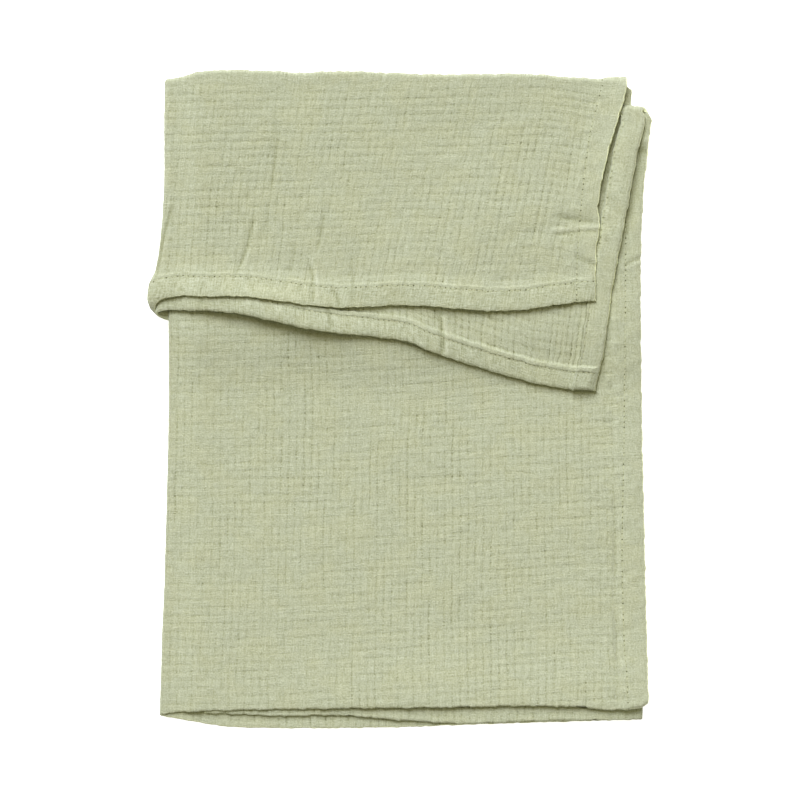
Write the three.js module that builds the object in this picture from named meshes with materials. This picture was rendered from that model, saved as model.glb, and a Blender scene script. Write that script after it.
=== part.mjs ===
// A crib sheet of crinkled double gauze, hemmed all round and folded for a shelf.
//
// The cloth is first folded up lengthwise into two layers, then the top of both layers is
// turned down over the front as a flap, and then the whole is folded across into three
// panels: the front panel, the back panel and the middle panel that is tucked between them.
//
// Millimetres. X runs across the pile, Y from the bottom fold to the top fold, Z up.
// The origin is under the middle of the pile, on the surface that it lies on.

import * as THREE from 'three';

// The cloth
const CLOTH = 1.0;
const AIR = 0.3;
const PITCH = CLOTH + AIR;
const HEM_WIDTH = 19.5;
const HEM_STEP = 1.0;
const HEM_EXTRA = 0.4;

// How loosely the two layers of the flap lie on the front
const UNDER_FLAP_LIFT = 0.6;
const UPPER_FLAP_LIFT = 0.2;

// How far a layer takes to come down past the edge of what it lies on
const HEM_DROP = 60;
const SIDE_DROP = 25;
const SIDE_MARGIN = 4;
const HEM_EASE = 10;

// The plain outline that the uneven edges are set out from
const BODY_BOTTOM = -266;
const BODY_TOP = 262;
const FRONT_EDGE = 208;
const MIDDLE_EDGE = -168;
const LEFT_EDGE = -197;
const RIGHT_EDGE = 204;

// Edges of the front panel, seen from above. 'at' is the place along the edge.
const FRONT_BOTTOM_FOLD = curve([
  { at: -207, edge: -272 },
  { at: -186, edge: -269.6 },
  { at: -129, edge: -267.5 },
  { at: 0, edge: -265.8 },
  { at: 148, edge: -264.2 },
  { at: 181, edge: -267.5 },
  { at: 206, edge: -265 },
  { at: 214, edge: -261 },
]);
const OUTER_TOP_FOLD = curve([
  { at: -201, edge: 274.6 },
  { at: -165, edge: 282.6 },
  { at: -118, edge: 282.7 },
  { at: -84, edge: 280.9 },
  { at: -50, edge: 282.2 },
  { at: 26, edge: 279.6 },
  { at: 112, edge: 279.7 },
  { at: 166, edge: 275.9 },
  { at: 197, edge: 277 },
]);
const INNER_TOP_FOLD = curve([
  { at: -200, edge: 266 },
  { at: 0, edge: 259 },
  { at: 190, edge: 250.6 },
  { at: 216, edge: 247 },
]);
const UPPER_HEM = curve([
  { at: -200, edge: 86 },
  { at: -135, edge: 88.3 },
  { at: -58, edge: 78.8 },
  { at: 8, edge: 80.6 },
  { at: 90, edge: 75.7 },
  { at: 152, edge: 83.2 },
  { at: 170, edge: 84 },
]);
const UNDER_HEM = curve([
  { at: -200, edge: 77 },
  { at: -142, edge: 73.8 },
  { at: -72, edge: 59 },
  { at: 5, edge: 49.6 },
  { at: 32, edge: 38.8 },
  { at: 106, edge: 16.2 },
  { at: 140, edge: 9.2 },
  { at: 168, edge: 7 },
]);

// The free side edges of the four layers of the front panel, one curve for each level
const INNER_SIDE = curve([
  { at: -262, edge: 213 },
  { at: 0, edge: 207.3 },
  { at: 130, edge: 205.5 },
  { at: 250, edge: 197.8 },
  { at: 272, edge: 199.4 },
]);
const BODY_SIDE = curve([
  { at: -262, edge: 214.5 },
  { at: -130, edge: 211.4 },
  { at: 0, edge: 208.7 },
  { at: 125, edge: 207.8 },
  { at: 190, edge: 211.4 },
  { at: 247, edge: 217 },
]);
const UNDER_FLAP_SIDE = curve([
  { at: 8, edge: 168.6 },
  { at: 36, edge: 175.2 },
  { at: 102, edge: 184.9 },
  { at: 180, edge: 199 },
  { at: 247, edge: 215.5 },
]);
const UPPER_FLAP_SIDE = curve([
  { at: 84, edge: 168.6 },
  { at: 128, edge: 169.4 },
  { at: 150, edge: 172.2 },
  { at: 168, edge: 170.9 },
  { at: 210, edge: 179.2 },
  { at: 277, edge: 196 },
]);

// The left crease: where the front turns round to the back, and how far out each level goes
const LEFT_CREASE = curve([
  { at: -272, edge: -204.4 },
  { at: -30, edge: -196.8 },
  { at: 60, edge: -196.6 },
  { at: 280, edge: -196.4 },
]);
const UNDER_FLAP_REACH = curve([
  { at: 76, edge: 13.2 },
  { at: 104, edge: 10 },
  { at: 150, edge: 5.5 },
  { at: 240, edge: 3.3 },
]);
const UPPER_FLAP_REACH = curve([
  { at: 80, edge: 19.4 },
  { at: 96, edge: 19 },
  { at: 118, edge: 13.2 },
  { at: 160, edge: 7.6 },
  { at: 204, edge: 5.4 },
  { at: 280, edge: 4.6 },
]);

// The right crease, where the back panel turns round to the middle panel, which is tucked in
// short of the left crease
const RIGHT_CREASE = curve([
  { at: -276, edge: 206.8 },
  { at: -60, edge: 205 },
  { at: 90, edge: 200 },
  { at: 240, edge: 190.5 },
]);
const MIDDLE_SIDE = curve([
  { at: -276, edge: -168 },
  { at: 280, edge: -166 },
]);

// Edges of the back and middle panels, which show only past the front panel's bottom fold
const BACK_BOTTOM_FOLD = curve([
  { at: -207, edge: -272.6 },
  { at: -172, edge: -278.9 },
  { at: -143, edge: -282.8 },
  { at: -60, edge: -283.6 },
  { at: 0, edge: -283 },
  { at: 61, edge: -280.6 },
  { at: 209, edge: -276.2 },
]);
const MIDDLE_BOTTOM_FOLD = curve([
  { at: -168, edge: -270.4 },
  { at: -103, edge: -273 },
  { at: -54, edge: -272.5 },
  { at: 0, edge: -276.4 },
  { at: 56, edge: -279.5 },
  { at: 125, edge: -277.2 },
  { at: 209, edge: -276.2 },
]);
const BACK_TOP_FOLD = curve([
  { at: -201, edge: 274.4 },
  { at: 0, edge: 275 },
  { at: 190, edge: 270 },
]);
const BACK_INNER_FOLD = curve([
  { at: -200, edge: 265 },
  { at: 190, edge: 258 },
]);
const BACK_UPPER_HEM = curve([
  { at: -200, edge: 68 },
  { at: -120, edge: 62 },
  { at: 200, edge: 66 },
]);
const BACK_UNDER_HEM = curve([
  { at: -200, edge: 70 },
  { at: -120, edge: 56 },
  { at: 200, edge: 58 },
]);

// Soft swells and hollows of the pile: where they are, how long and wide they are, which way
// they lie, and what share of the pile's height they add or take away
const SOFT_FORMS = [
  { x: -100, y: -150, long: 150, wide: 60, turn: 4, share: 0.05 },
  { x: 90, y: -60, long: 130, wide: 50, turn: -6, share: 0.06 },
  { x: -60, y: 20, long: 120, wide: 26, turn: -8, share: -0.09 },
  { x: 60, y: 140, long: 120, wide: 34, turn: -3, share: 0.05 },
  { x: -120, y: 190, long: 90, wide: 40, turn: 7, share: 0.04 },
  { x: 150, y: 150, long: 60, wide: 9, turn: 12, share: -0.05 },
  { x: 60, y: -215, long: 150, wide: 24, turn: 1, share: -0.05 },
  { x: -150, y: -40, long: 22, wide: 130, turn: -3, share: -0.04 },
];

// The panels, in the order in which they follow each other across the cloth
const PANELS = {
  front: {
    bottomFold: FRONT_BOTTOM_FOLD,
    outerFold: OUTER_TOP_FOLD,
    innerFold: INNER_TOP_FOLD,
    upperHem: UPPER_HEM,
    underHem: UNDER_HEM,
  },
  back: {
    bottomFold: BACK_BOTTOM_FOLD,
    outerFold: BACK_TOP_FOLD,
    innerFold: BACK_INNER_FOLD,
    upperHem: BACK_UPPER_HEM,
    underHem: BACK_UNDER_HEM,
  },
  middle: {
    bottomFold: MIDDLE_BOTTOM_FOLD,
    outerFold: BACK_TOP_FOLD,
    innerFold: BACK_INNER_FOLD,
    upperHem: BACK_UPPER_HEM,
    underHem: BACK_UNDER_HEM,
  },
};
const FRONT_SIDES = { 1: INNER_SIDE, 2: BODY_SIDE, 3: UNDER_FLAP_SIDE, 4: UPPER_FLAP_SIDE };

// The sections of the cloth from one end hem to the other. A layer lies at one level of its
// panel, and the cloth runs up it or down it. A fold turns from one level to another, and
// points up (1) or down (-1) the pile's length.
const UNDER_FLAP = { level: 3, runs: 1 };
const INNER_FOLD = { from: 3, to: 2, points: 1 };
const BODY_LAYER = { level: 2, runs: -1 };
const BOTTOM_FOLD = { from: 2, to: 1, points: -1 };
const INNER_LAYER = { level: 1, runs: 1 };
const OUTER_FOLD = { from: 1, to: 4, points: 1 };
const UPPER_FLAP = { level: 4, runs: -1 };
const SECTIONS = [
  UNDER_FLAP,
  INNER_FOLD,
  BODY_LAYER,
  BOTTOM_FOLD,
  INNER_LAYER,
  OUTER_FOLD,
  UPPER_FLAP,
];

// Where the mesh has its lines: shares of a layer, of a panel and of a turn
const BODY_ROWS = [0, 0.14, 0.3, 0.43, 0.5, 0.54, 0.57, 0.6, 0.63, 0.66, 0.72, 0.82, 0.92, 1];
const FRONT_COLUMNS = [0.17, 0.26, 0.35, 0.44, 0.53, 0.62, 0.71, 0.8, 0.87, 0.91, 0.94, 0.97, 1];
const PANEL_STEPS = { back: 8, middle: 6 };
const FOLD_STEPS = 4;
const OUTER_FOLD_STEPS = 5;
const CREASE_STEPS = 5;
const HEM_SHARE = 0.2;
const STEP_SHARE = 0.22;
const SIDE_HEM_SHARE = 0.08;
const SIDE_STEP_SHARE = 0.09;
const FLAP_ROWS = [0, HEM_SHARE / 2, HEM_SHARE, STEP_SHARE, 0.31, 0.41, 0.54, 0.7, 0.86, 1];
const HEM_FADE = 0.1;
const NUDGE = 1e-4;

// How soon the lines of a layer settle from its uneven edges to their even run: the higher,
// the sooner
const BOTTOM_SETTLES = 4;
const TOP_SETTLES = 8;
const SIDE_SETTLES = 4;

// A smooth curve through the rows of a short table, level past its ends
function curve(rows) {
  const slopes = rows.map((row, i) => {
    const before = rows[Math.max(i - 1, 0)];
    const after = rows[Math.min(i + 1, rows.length - 1)];
    return (after.edge - before.edge) / (after.at - before.at);
  });
  const last = rows.length - 1;
  return (place) => {
    if (place <= rows[0].at) return rows[0].edge;
    if (place >= rows[last].at) return rows[last].edge;
    let i = 0;
    while (place > rows[i + 1].at) i += 1;
    const span = rows[i + 1].at - rows[i].at;
    const u = (place - rows[i].at) / span;
    const risen = u * u * (3 - 2 * u);
    const leaving = u * (1 - u) * (1 - u) * span * slopes[i];
    const arriving = u * u * (u - 1) * span * slopes[i + 1];
    return mix(rows[i].edge, rows[i + 1].edge, risen) + leaving + arriving;
  };
}

function mix(from, to, share) {
  return from + (to - from) * share;
}

// 0 below zero, 1 past the given distance, and smooth between
function rise(distance, over) {
  const u = Math.min(Math.max(distance / over, 0), 1);
  return u * u * (3 - 2 * u);
}

// How much of a flap layer lies at a place: all of it above its hem, less and less below it
function flapThere(hem, x, y) {
  return rise(y - hem(x) + HEM_DROP, HEM_DROP);
}

// How much of the hem's extra thickness lies at a place, by its distance in from the edge
function hemThere(distance) {
  return rise(distance + HEM_EASE, HEM_EASE) * rise(HEM_WIDTH + HEM_EASE - distance, HEM_EASE);
}

// Heights of the middle of each layer above the surface, panel by panel
function backHeight(level, x, y) {
  const upper = flapThere(BACK_UPPER_HEM, x, y);
  const under = flapThere(BACK_UNDER_HEM, x, y);
  const layersBelow = { 4: 0, 3: upper, 2: upper + under, 1: upper + under + 1 };
  return CLOTH / 2 + PITCH * layersBelow[level];
}

function middleHeight(level, x, y) {
  const upper = flapThere(BACK_UPPER_HEM, x, y);
  const under = flapThere(BACK_UNDER_HEM, x, y);
  const onBack = upper + under + 2;
  return CLOTH / 2 + PITCH * (onBack + level - 1);
}

function frontHeight(level, x, y) {
  const upper = flapThere(BACK_UPPER_HEM, x, y);
  const under = flapThere(BACK_UNDER_HEM, x, y);
  const middle = rise(x - MIDDLE_SIDE(y) + SIDE_DROP + SIDE_MARGIN, SIDE_DROP);
  const below = upper + under + 2 + middle * (2 + upper + under);
  let height = CLOTH / 2 + PITCH * (below + level - 1);
  if (level >= 2) {
    height += 2 * HEM_EXTRA * hemThere(BODY_SIDE(y) - x);
  }
  if (level >= 3) {
    height += UNDER_FLAP_LIFT;
  }
  if (level >= 4) {
    const underHem = Math.max(hemThere(UNDER_FLAP_SIDE(y) - x), hemThere(y - UNDER_HEM(x)));
    const upperHem = Math.max(hemThere(UPPER_FLAP_SIDE(y) - x), hemThere(y - UPPER_HEM(x)));
    height += UPPER_FLAP_LIFT + HEM_EXTRA * (underHem + upperHem);
  }
  return height;
}

const HEIGHTS = { front: frontHeight, back: backHeight, middle: middleHeight };

// A fold is half a circle, so it reaches out half as far as the levels that it joins lie apart
function foldReach(fold, panel, x, y) {
  const height = HEIGHTS[panel];
  return Math.abs(height(fold.to, x, y) - height(fold.from, x, y)) / 2;
}

// Where a panel's layer at one level starts and ends along Y
function topLine(level, panel, x) {
  const lines = PANELS[panel];
  const outside = level === OUTER_FOLD.from || level === OUTER_FOLD.to;
  const fold = outside ? OUTER_FOLD : INNER_FOLD;
  const edge = outside ? lines.outerFold(x) : lines.innerFold(x);
  return edge - foldReach(fold, panel, x, edge) - CLOTH / 2;
}

function bottomLine(level, panel, x) {
  const lines = PANELS[panel];
  if (level === UPPER_FLAP.level) return lines.upperHem(x);
  if (level === UNDER_FLAP.level) return lines.underHem(x);
  const edge = lines.bottomFold(x);
  return edge + foldReach(BOTTOM_FOLD, panel, x, edge) + CLOTH / 2;
}

// A place along a flap layer, whose hem keeps its width wherever the layer is long or short
function flapPlace(share, hem, fold) {
  if (share <= HEM_SHARE) return hem + HEM_WIDTH * (share / HEM_SHARE);
  const stepEnd = HEM_WIDTH + HEM_STEP;
  if (share <= STEP_SHARE) {
    return hem + mix(HEM_WIDTH, stepEnd, (share - HEM_SHARE) / (STEP_SHARE - HEM_SHARE));
  }
  return mix(hem + stepEnd, fold, (share - STEP_SHARE) / (1 - STEP_SHARE));
}

// A place along a body layer, whose lines run level but for its two ends
function bodyPlace(share, bottom, top) {
  const even = mix(BODY_BOTTOM, BODY_TOP, share);
  const atBottom = (bottom - BODY_BOTTOM) * (1 - share) ** BOTTOM_SETTLES;
  const atTop = (top - BODY_TOP) * share ** TOP_SETTLES;
  return even + atBottom + atTop;
}

function layerPlace(level, panel, x, share) {
  const bottom = bottomLine(level, panel, x);
  const top = topLine(level, panel, x);
  const onFlap = level >= UNDER_FLAP.level;
  return onFlap ? flapPlace(share, bottom, top) : bodyPlace(share, bottom, top);
}

// The layer or fold at a place along the cloth: the levels it lies between, and how far it
// has turned from one to the other
function sectionAt(along) {
  const index = Math.min(Math.floor(along), SECTIONS.length - 1);
  const section = SECTIONS[index];
  const share = along - index;
  if (section.level) {
    const upward = section.runs > 0 ? share : 1 - share;
    return { from: section.level, to: section.level, turned: 0, out: 0, share: upward };
  }
  const angle = Math.PI * share;
  const turned = (1 - Math.cos(angle)) / 2;
  const end = section.points > 0 ? 1 : 0;
  return { ...section, turned, out: section.points * Math.sin(angle), share: end };
}

// A point of a panel's cloth: 'xAt' gives X for a level and a place along Y
function panelPoint(panel, here, x, xAt) {
  const guess = layerPlace(here.from, panel, x, here.share);
  const xHere = mix(xAt(here.from, guess), xAt(here.to, guess), here.turned);
  const base = layerPlace(here.from, panel, xHere, here.share);
  const height = HEIGHTS[panel];
  const from = height(here.from, xHere, base);
  const to = height(here.to, xHere, base);
  const reach = Math.abs(to - from) / 2;
  return [xHere, base + reach * here.out, mix(from, to, here.turned)];
}

// A place across a panel from its free edge: the hem keeps its width, and past it the lines
// of all the levels soon fall in with each other, whatever edge each level starts from
function sideHemPlace(share, edge, usualEdge, crease) {
  const inward = Math.sign(crease - edge);
  if (share <= SIDE_HEM_SHARE) return edge + inward * HEM_WIDTH * (share / SIDE_HEM_SHARE);
  const stepEnd = HEM_WIDTH + HEM_STEP;
  if (share <= SIDE_STEP_SHARE) {
    const u = (share - SIDE_HEM_SHARE) / (SIDE_STEP_SHARE - SIDE_HEM_SHARE);
    return edge + inward * mix(HEM_WIDTH, stepEnd, u);
  }
  const u = (share - SIDE_STEP_SHARE) / (1 - SIDE_STEP_SHARE);
  const even = mix(usualEdge + inward * stepEnd, crease, u);
  return even + (edge - usualEdge) * (1 - u) ** SIDE_SETTLES;
}

function frontPoint(share, here) {
  const xAt = (level, y) => {
    return sideHemPlace(share, FRONT_SIDES[level](y), FRONT_EDGE, LEFT_CREASE(y));
  };
  return panelPoint('front', here, mix(FRONT_EDGE, LEFT_EDGE, share), xAt);
}

function backPoint(share, here) {
  const xAt = (level, y) => mix(LEFT_CREASE(y), RIGHT_CREASE(y), share);
  return panelPoint('back', here, mix(LEFT_EDGE, RIGHT_EDGE, share), xAt);
}

function middlePoint(share, here) {
  const xAt = (level, y) => {
    return sideHemPlace(1 - share, MIDDLE_SIDE(y), MIDDLE_EDGE, RIGHT_CREASE(y));
  };
  return panelPoint('middle', here, mix(RIGHT_EDGE, MIDDLE_EDGE, share), xAt);
}

// A crease turns half round from one panel's point to the next panel's, and the levels nest
function creasePoint(start, end, share, side, reach) {
  const angle = Math.PI * share;
  const turned = (1 - Math.cos(angle)) / 2;
  return [
    mix(start[0], end[0], turned) + side * reach * Math.sin(angle),
    mix(start[1], end[1], turned),
    mix(start[2], end[2], turned),
  ];
}

function leftReach(level, y, round) {
  if (level === UPPER_FLAP.level) return Math.max(UPPER_FLAP_REACH(y), round);
  if (level === UNDER_FLAP.level) return Math.max(UNDER_FLAP_REACH(y), round);
  return round;
}

function leftCreasePoint(share, here) {
  const start = frontPoint(1, here);
  const end = backPoint(0, here);
  const round = Math.abs(start[2] - end[2]) / 2;
  const from = leftReach(here.from, start[1], round);
  const to = leftReach(here.to, start[1], round);
  return creasePoint(start, end, share, -1, mix(from, to, here.turned));
}

function rightCreasePoint(share, here) {
  const start = backPoint(1, here);
  const end = middlePoint(0, here);
  return creasePoint(start, end, share, 1, Math.abs(start[2] - end[2]) / 2);
}

const STRETCHES = [frontPoint, leftCreasePoint, backPoint, rightCreasePoint, middlePoint];

// The pile's soft swells and hollows, which keep the layers in order and the base flat
function softShare(x, y) {
  let share = 1;
  for (const form of SOFT_FORMS) {
    const turn = THREE.MathUtils.degToRad(form.turn);
    const dx = x - form.x;
    const dy = y - form.y;
    const along = (dx * Math.cos(turn) + dy * Math.sin(turn)) / form.long;
    const across = (dy * Math.cos(turn) - dx * Math.sin(turn)) / form.wide;
    share += form.share * Math.exp(-along * along - across * across);
  }
  return share;
}

// The middle of the cloth's thickness at any place on the flat sheet
function clothPoint(across, along) {
  const index = Math.min(Math.floor(across), STRETCHES.length - 1);
  const [x, y, z] = STRETCHES[index](across - index, sectionAt(along));
  return new THREE.Vector3(x, y, z * softShare(x, y));
}

// The side of the cloth that faces out before it is folded
function clothNormal(across, along) {
  const before = clothPoint(Math.max(across - NUDGE, 0), along);
  const after = clothPoint(Math.min(across + NUDGE, STRETCHES.length), along);
  const below = clothPoint(across, Math.max(along - NUDGE, 0));
  const above = clothPoint(across, Math.min(along + NUDGE, SECTIONS.length));
  return after.sub(before).cross(above.sub(below)).normalize();
}

// The hems of the front panel stand out on the inner side of the cloth, and those that are
// pressed flat inside the pile don't
function hemExtra(across, along) {
  const onSideHem = across <= SIDE_HEM_SHARE;
  const onEndHem = along <= HEM_SHARE || along >= SECTIONS.length - HEM_SHARE;
  const pressedFlat = rise(across - 1 + HEM_FADE, HEM_FADE);
  return onSideHem || onEndHem ? HEM_EXTRA * (1 - pressedFlat) : 0;
}

// The mesh lines across the cloth and along it
function evenSteps(count, start = 0) {
  return Array.from({ length: count }, (unused, i) => mix(start, 1, (i + 1) / count));
}

function columnLines() {
  const hem = [SIDE_HEM_SHARE / 2, SIDE_HEM_SHARE, SIDE_STEP_SHARE];
  const front = [...hem, ...FRONT_COLUMNS];
  const middleFromHem = [0, ...hem, ...evenSteps(PANEL_STEPS.middle, SIDE_STEP_SHARE)];
  const middle = middleFromHem.map((share) => 1 - share).reverse().slice(1);
  const crease = evenSteps(CREASE_STEPS);
  const stretches = [front, crease, evenSteps(PANEL_STEPS.back), crease, middle];
  return [0, ...stretches.flatMap((shares, i) => shares.map((share) => i + share))];
}

function rowLines() {
  const flipped = (rows) => rows.map((share) => 1 - share).reverse();
  const fold = evenSteps(FOLD_STEPS);
  const sections = [
    FLAP_ROWS.slice(1),
    fold,
    flipped(BODY_ROWS).slice(1),
    fold,
    BODY_ROWS.slice(1),
    evenSteps(OUTER_FOLD_STEPS),
    flipped(FLAP_ROWS).slice(1),
  ];
  return [0, ...sections.flatMap((shares, i) => shares.map((share) => i + share))];
}

// Layers that lie on each other are split into triangles along the same lines, seen from above
function splitsOtherWay(across, along) {
  const onBack = STRETCHES[Math.floor(across)] === backPoint;
  const runsDown = SECTIONS[Math.floor(along)].runs < 0;
  return onBack !== runsDown;
}

// The closed solid: an outer face and an inner face of the same grid, joined at the edges
function clothGeometry() {
  const columns = columnLines();
  const rows = rowLines();
  const width = rows.length;
  const faceSize = columns.length * width;
  const positions = new Float32Array(faceSize * 2 * 3);
  columns.forEach((across, i) => {
    rows.forEach((along, j) => {
      const point = clothPoint(across, along);
      const normal = clothNormal(across, along);
      const outer = point.clone().addScaledVector(normal, CLOTH / 2);
      const inner = point.clone().addScaledVector(normal, -CLOTH / 2 - hemExtra(across, along));
      // The lowest layer lies flat on the surface
      outer.z = Math.max(outer.z, 0);
      outer.toArray(positions, (i * width + j) * 3);
      inner.toArray(positions, (faceSize + i * width + j) * 3);
    });
  });
  const triangles = [];
  const quad = (a, b, c, d) => triangles.push(a, b, c, a, c, d);
  for (let i = 0; i < columns.length - 1; i += 1) {
    for (let j = 0; j < width - 1; j += 1) {
      const corner = i * width + j;
      const corners = [corner, corner + width, corner + width + 1, corner + 1];
      if (splitsOtherWay(columns[i], rows[j])) corners.push(corners.shift());
      const innerCorners = corners.map((vertex) => faceSize + vertex);
      quad(...corners);
      quad(innerCorners[0], innerCorners[3], innerCorners[2], innerCorners[1]);
    }
  }
  const edge = [];
  for (let i = 0; i < columns.length - 1; i += 1) edge.push(i * width);
  for (let j = 0; j < width - 1; j += 1) edge.push((columns.length - 1) * width + j);
  for (let i = columns.length - 1; i > 0; i -= 1) edge.push(i * width + width - 1);
  for (let j = width - 1; j > 0; j -= 1) edge.push(j);
  edge.forEach((vertex, k) => {
    const next = edge[(k + 1) % edge.length];
    quad(vertex, faceSize + vertex, faceSize + next, next);
  });
  const geometry = new THREE.BufferGeometry();
  geometry.setAttribute('position', new THREE.BufferAttribute(positions, 3));
  geometry.setIndex(triangles);
  geometry.computeVertexNormals();
  return geometry;
}

// Sage green cotton, matt
const gauze = new THREE.MeshStandardMaterial({
  color: new THREE.Color().setRGB(0.75, 0.757, 0.636, THREE.SRGBColorSpace),
  roughness: 0.92,
  metalness: 0,
});

const sheet = new THREE.Mesh(clothGeometry(), gauze);
sheet.name = 'sheet';

const part = new THREE.Group();
part.add(sheet);

export default part;
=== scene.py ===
# %% [markdown]
# # A folded crib sheet of crinkled gauze
# The real object is one piece of cotton: two layers of loose gauze, tacked to each other while
# they were woven, that crinkled up into a fine check when they were washed. It is hemmed on all
# four sides and folded for a shelf.
#
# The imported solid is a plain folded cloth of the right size. This script keeps it as the fixed
# frame, and puts a finer cloth in its place: the same folds, with their creases, crinkles, round
# hem edges and stitches.

# %% Load the frame
import collections
import itertools
import math

import bpy
import numpy as np
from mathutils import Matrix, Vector
from mathutils.bvhtree import BVHTree


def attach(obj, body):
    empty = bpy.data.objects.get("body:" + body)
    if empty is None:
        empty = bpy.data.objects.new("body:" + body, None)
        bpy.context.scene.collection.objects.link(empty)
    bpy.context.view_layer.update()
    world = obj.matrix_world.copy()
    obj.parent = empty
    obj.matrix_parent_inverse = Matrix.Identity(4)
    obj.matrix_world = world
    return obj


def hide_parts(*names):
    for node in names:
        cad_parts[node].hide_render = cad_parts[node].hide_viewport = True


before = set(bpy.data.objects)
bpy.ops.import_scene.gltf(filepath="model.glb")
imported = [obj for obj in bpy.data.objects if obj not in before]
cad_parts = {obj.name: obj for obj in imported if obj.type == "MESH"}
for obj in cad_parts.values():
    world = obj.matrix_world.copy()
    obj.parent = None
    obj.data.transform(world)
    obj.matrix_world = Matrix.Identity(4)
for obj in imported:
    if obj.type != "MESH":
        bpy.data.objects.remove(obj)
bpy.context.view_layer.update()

MILLIMETRE = 0.001

# %% [markdown]
# ## Camera
# The picture looks straight down on the pile. A far camera with a long lens keeps the upper
# layers from growing towards the edges of the picture, as a catalogue photograph does. The lens
# follows from three sizes: how much of the table one pixel covers, the picture's width and the
# camera's distance.

# %% Camera
PICTURE_PIXELS = 800
PIXEL_SIZE = 0.861 * MILLIMETRE
ORIGIN_PIXEL = (399.5, 399.3)
CAMERA_DISTANCE = 4.0
FOCUS_HEIGHT = 12 * MILLIMETRE

middle_pixel = PICTURE_PIXELS / 2
camera_data = bpy.data.cameras.new("camera")
camera_data.sensor_width = 36
camera_data.lens = camera_data.sensor_width * CAMERA_DISTANCE / (PICTURE_PIXELS * PIXEL_SIZE)
camera_data.clip_end = 20
camera = bpy.data.objects.new("camera", camera_data)
camera.location = (
    (middle_pixel - ORIGIN_PIXEL[0]) * PIXEL_SIZE,
    (ORIGIN_PIXEL[1] - middle_pixel) * PIXEL_SIZE,
    CAMERA_DISTANCE + FOCUS_HEIGHT,
)
bpy.context.scene.collection.objects.link(camera)
bpy.context.scene.camera = camera
print("lens in millimetres:", round(camera_data.lens, 1))

# %% [markdown]
# ## Smooth tables
# The uneven edges of the pile are short tables: a place along the edge, and where the edge is
# there. A cubic curve through the rows makes them smooth. `ragged` adds the little waves of a
# crinkled edge, which a straight hem of gauze always has.

# %% Curves through short tables
def mix(start, end, share):
    return start + (end - start) * share


def rise(distance, over):
    """0 below zero, 1 past the given distance, and smooth between."""
    u = np.clip(distance / over, 0, 1)
    return u * u * (3 - 2 * u)


def curve(table):
    """A smooth curve through {place: edge}, level past its ends."""
    places = np.array(list(table), float)
    edges = np.array(list(table.values()), float)
    before = np.maximum(np.arange(len(places)) - 1, 0)
    after = np.minimum(np.arange(len(places)) + 1, len(places) - 1)
    slopes = (edges[after] - edges[before]) / (places[after] - places[before])

    def edge_at(place):
        inside = np.clip(place, places[0], places[-1])
        i = np.clip(np.searchsorted(places, inside, side="right") - 1, 0, len(places) - 2)
        span = places[i + 1] - places[i]
        u = (inside - places[i]) / span
        leaving = u * (1 - u) ** 2 * span * slopes[i]
        arriving = u * u * (u - 1) * span * slopes[i + 1]
        return mix(edges[i], edges[i + 1], u * u * (3 - 2 * u)) + leaving + arriving

    return edge_at


RAGGED_WAVES = {31.0: 0.2, 17.0: 0.2, 9.5: 0.16, 6.9: 0.16}


def ragged(table, start, size=1.0):
    """The same curve with the small waves of a crinkled edge. 'start' sets them apart."""
    smooth = curve(table)

    def edge_at(place):
        edge = smooth(place)
        for number, (length, height) in enumerate(RAGGED_WAVES.items()):
            bend = 2.2 * np.sin(place / (3.7 * length) + start * (number + 2))
            wave = np.sin(2 * math.pi * place / length + bend + start * 1.7)
            edge = edge + size * height * wave
        return edge

    return edge_at


# %% [markdown]
# ## The folds
# These are the sizes of the fold, in millimetres, the same as the solid's. The sheet is folded
# up into two layers, the top of both layers is turned down over the front as a flap, and the
# whole is folded across into a front, a back and a middle panel. The levels of the front panel
# count from 1, the inner layer, to 4, the upper layer of the flap.

# %% Sizes of the cloth and of the plain fold
CLOTH = 1.0
AIR = 0.3
PITCH = CLOTH + AIR
HEM_WIDTH = 19.5
HEM_STEP = 1.0
HEM_EXTRA = 0.9
WRONG_SIDE_EXTRA = 1.3
UNDER_FLAP_LIFT = 0.6
UPPER_FLAP_LIFT = 0.2
HEM_DROP = 60
SIDE_DROP = 25
SIDE_MARGIN = 4
HEM_EASE = 10
BODY_BOTTOM = -266
BODY_TOP = 262
FRONT_EDGE = 208
MIDDLE_EDGE = -168
LEFT_EDGE = -197
RIGHT_EDGE = 204

# %% Edges of the front panel
FRONT_BOTTOM_FOLD = ragged({
    -207: -272, -186: -269.6, -129: -267.5, 0: -265.8, 148: -264.2, 181: -267.5, 206: -265,
    214: -261,
}, 1, 1.2)
OUTER_TOP_FOLD = ragged({
    -201: 274.6, -165: 282.6, -118: 282.7, -84: 280.9, -50: 282.2, 26: 279.6, 112: 279.7,
    166: 275.9, 197: 277,
}, 2)
INNER_TOP_FOLD = ragged({-200: 266, 0: 259, 190: 250.6, 207: 249.6, 213: 248.2, 217: 246.2}, 3)
UPPER_HEM = ragged({
    -204: 86.4, -190: 88.6, -160: 88, -135: 88.3, -58: 78.8, 8: 80.6, 90: 75.7, 152: 83.2, 170: 84,
}, 4)
UNDER_HEM = ragged({
    -200: 77, -142: 73.8, -72: 59, 5: 49.6, 32: 38.8, 106: 16.2, 140: 9.2, 168: 7,
}, 5)

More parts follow.
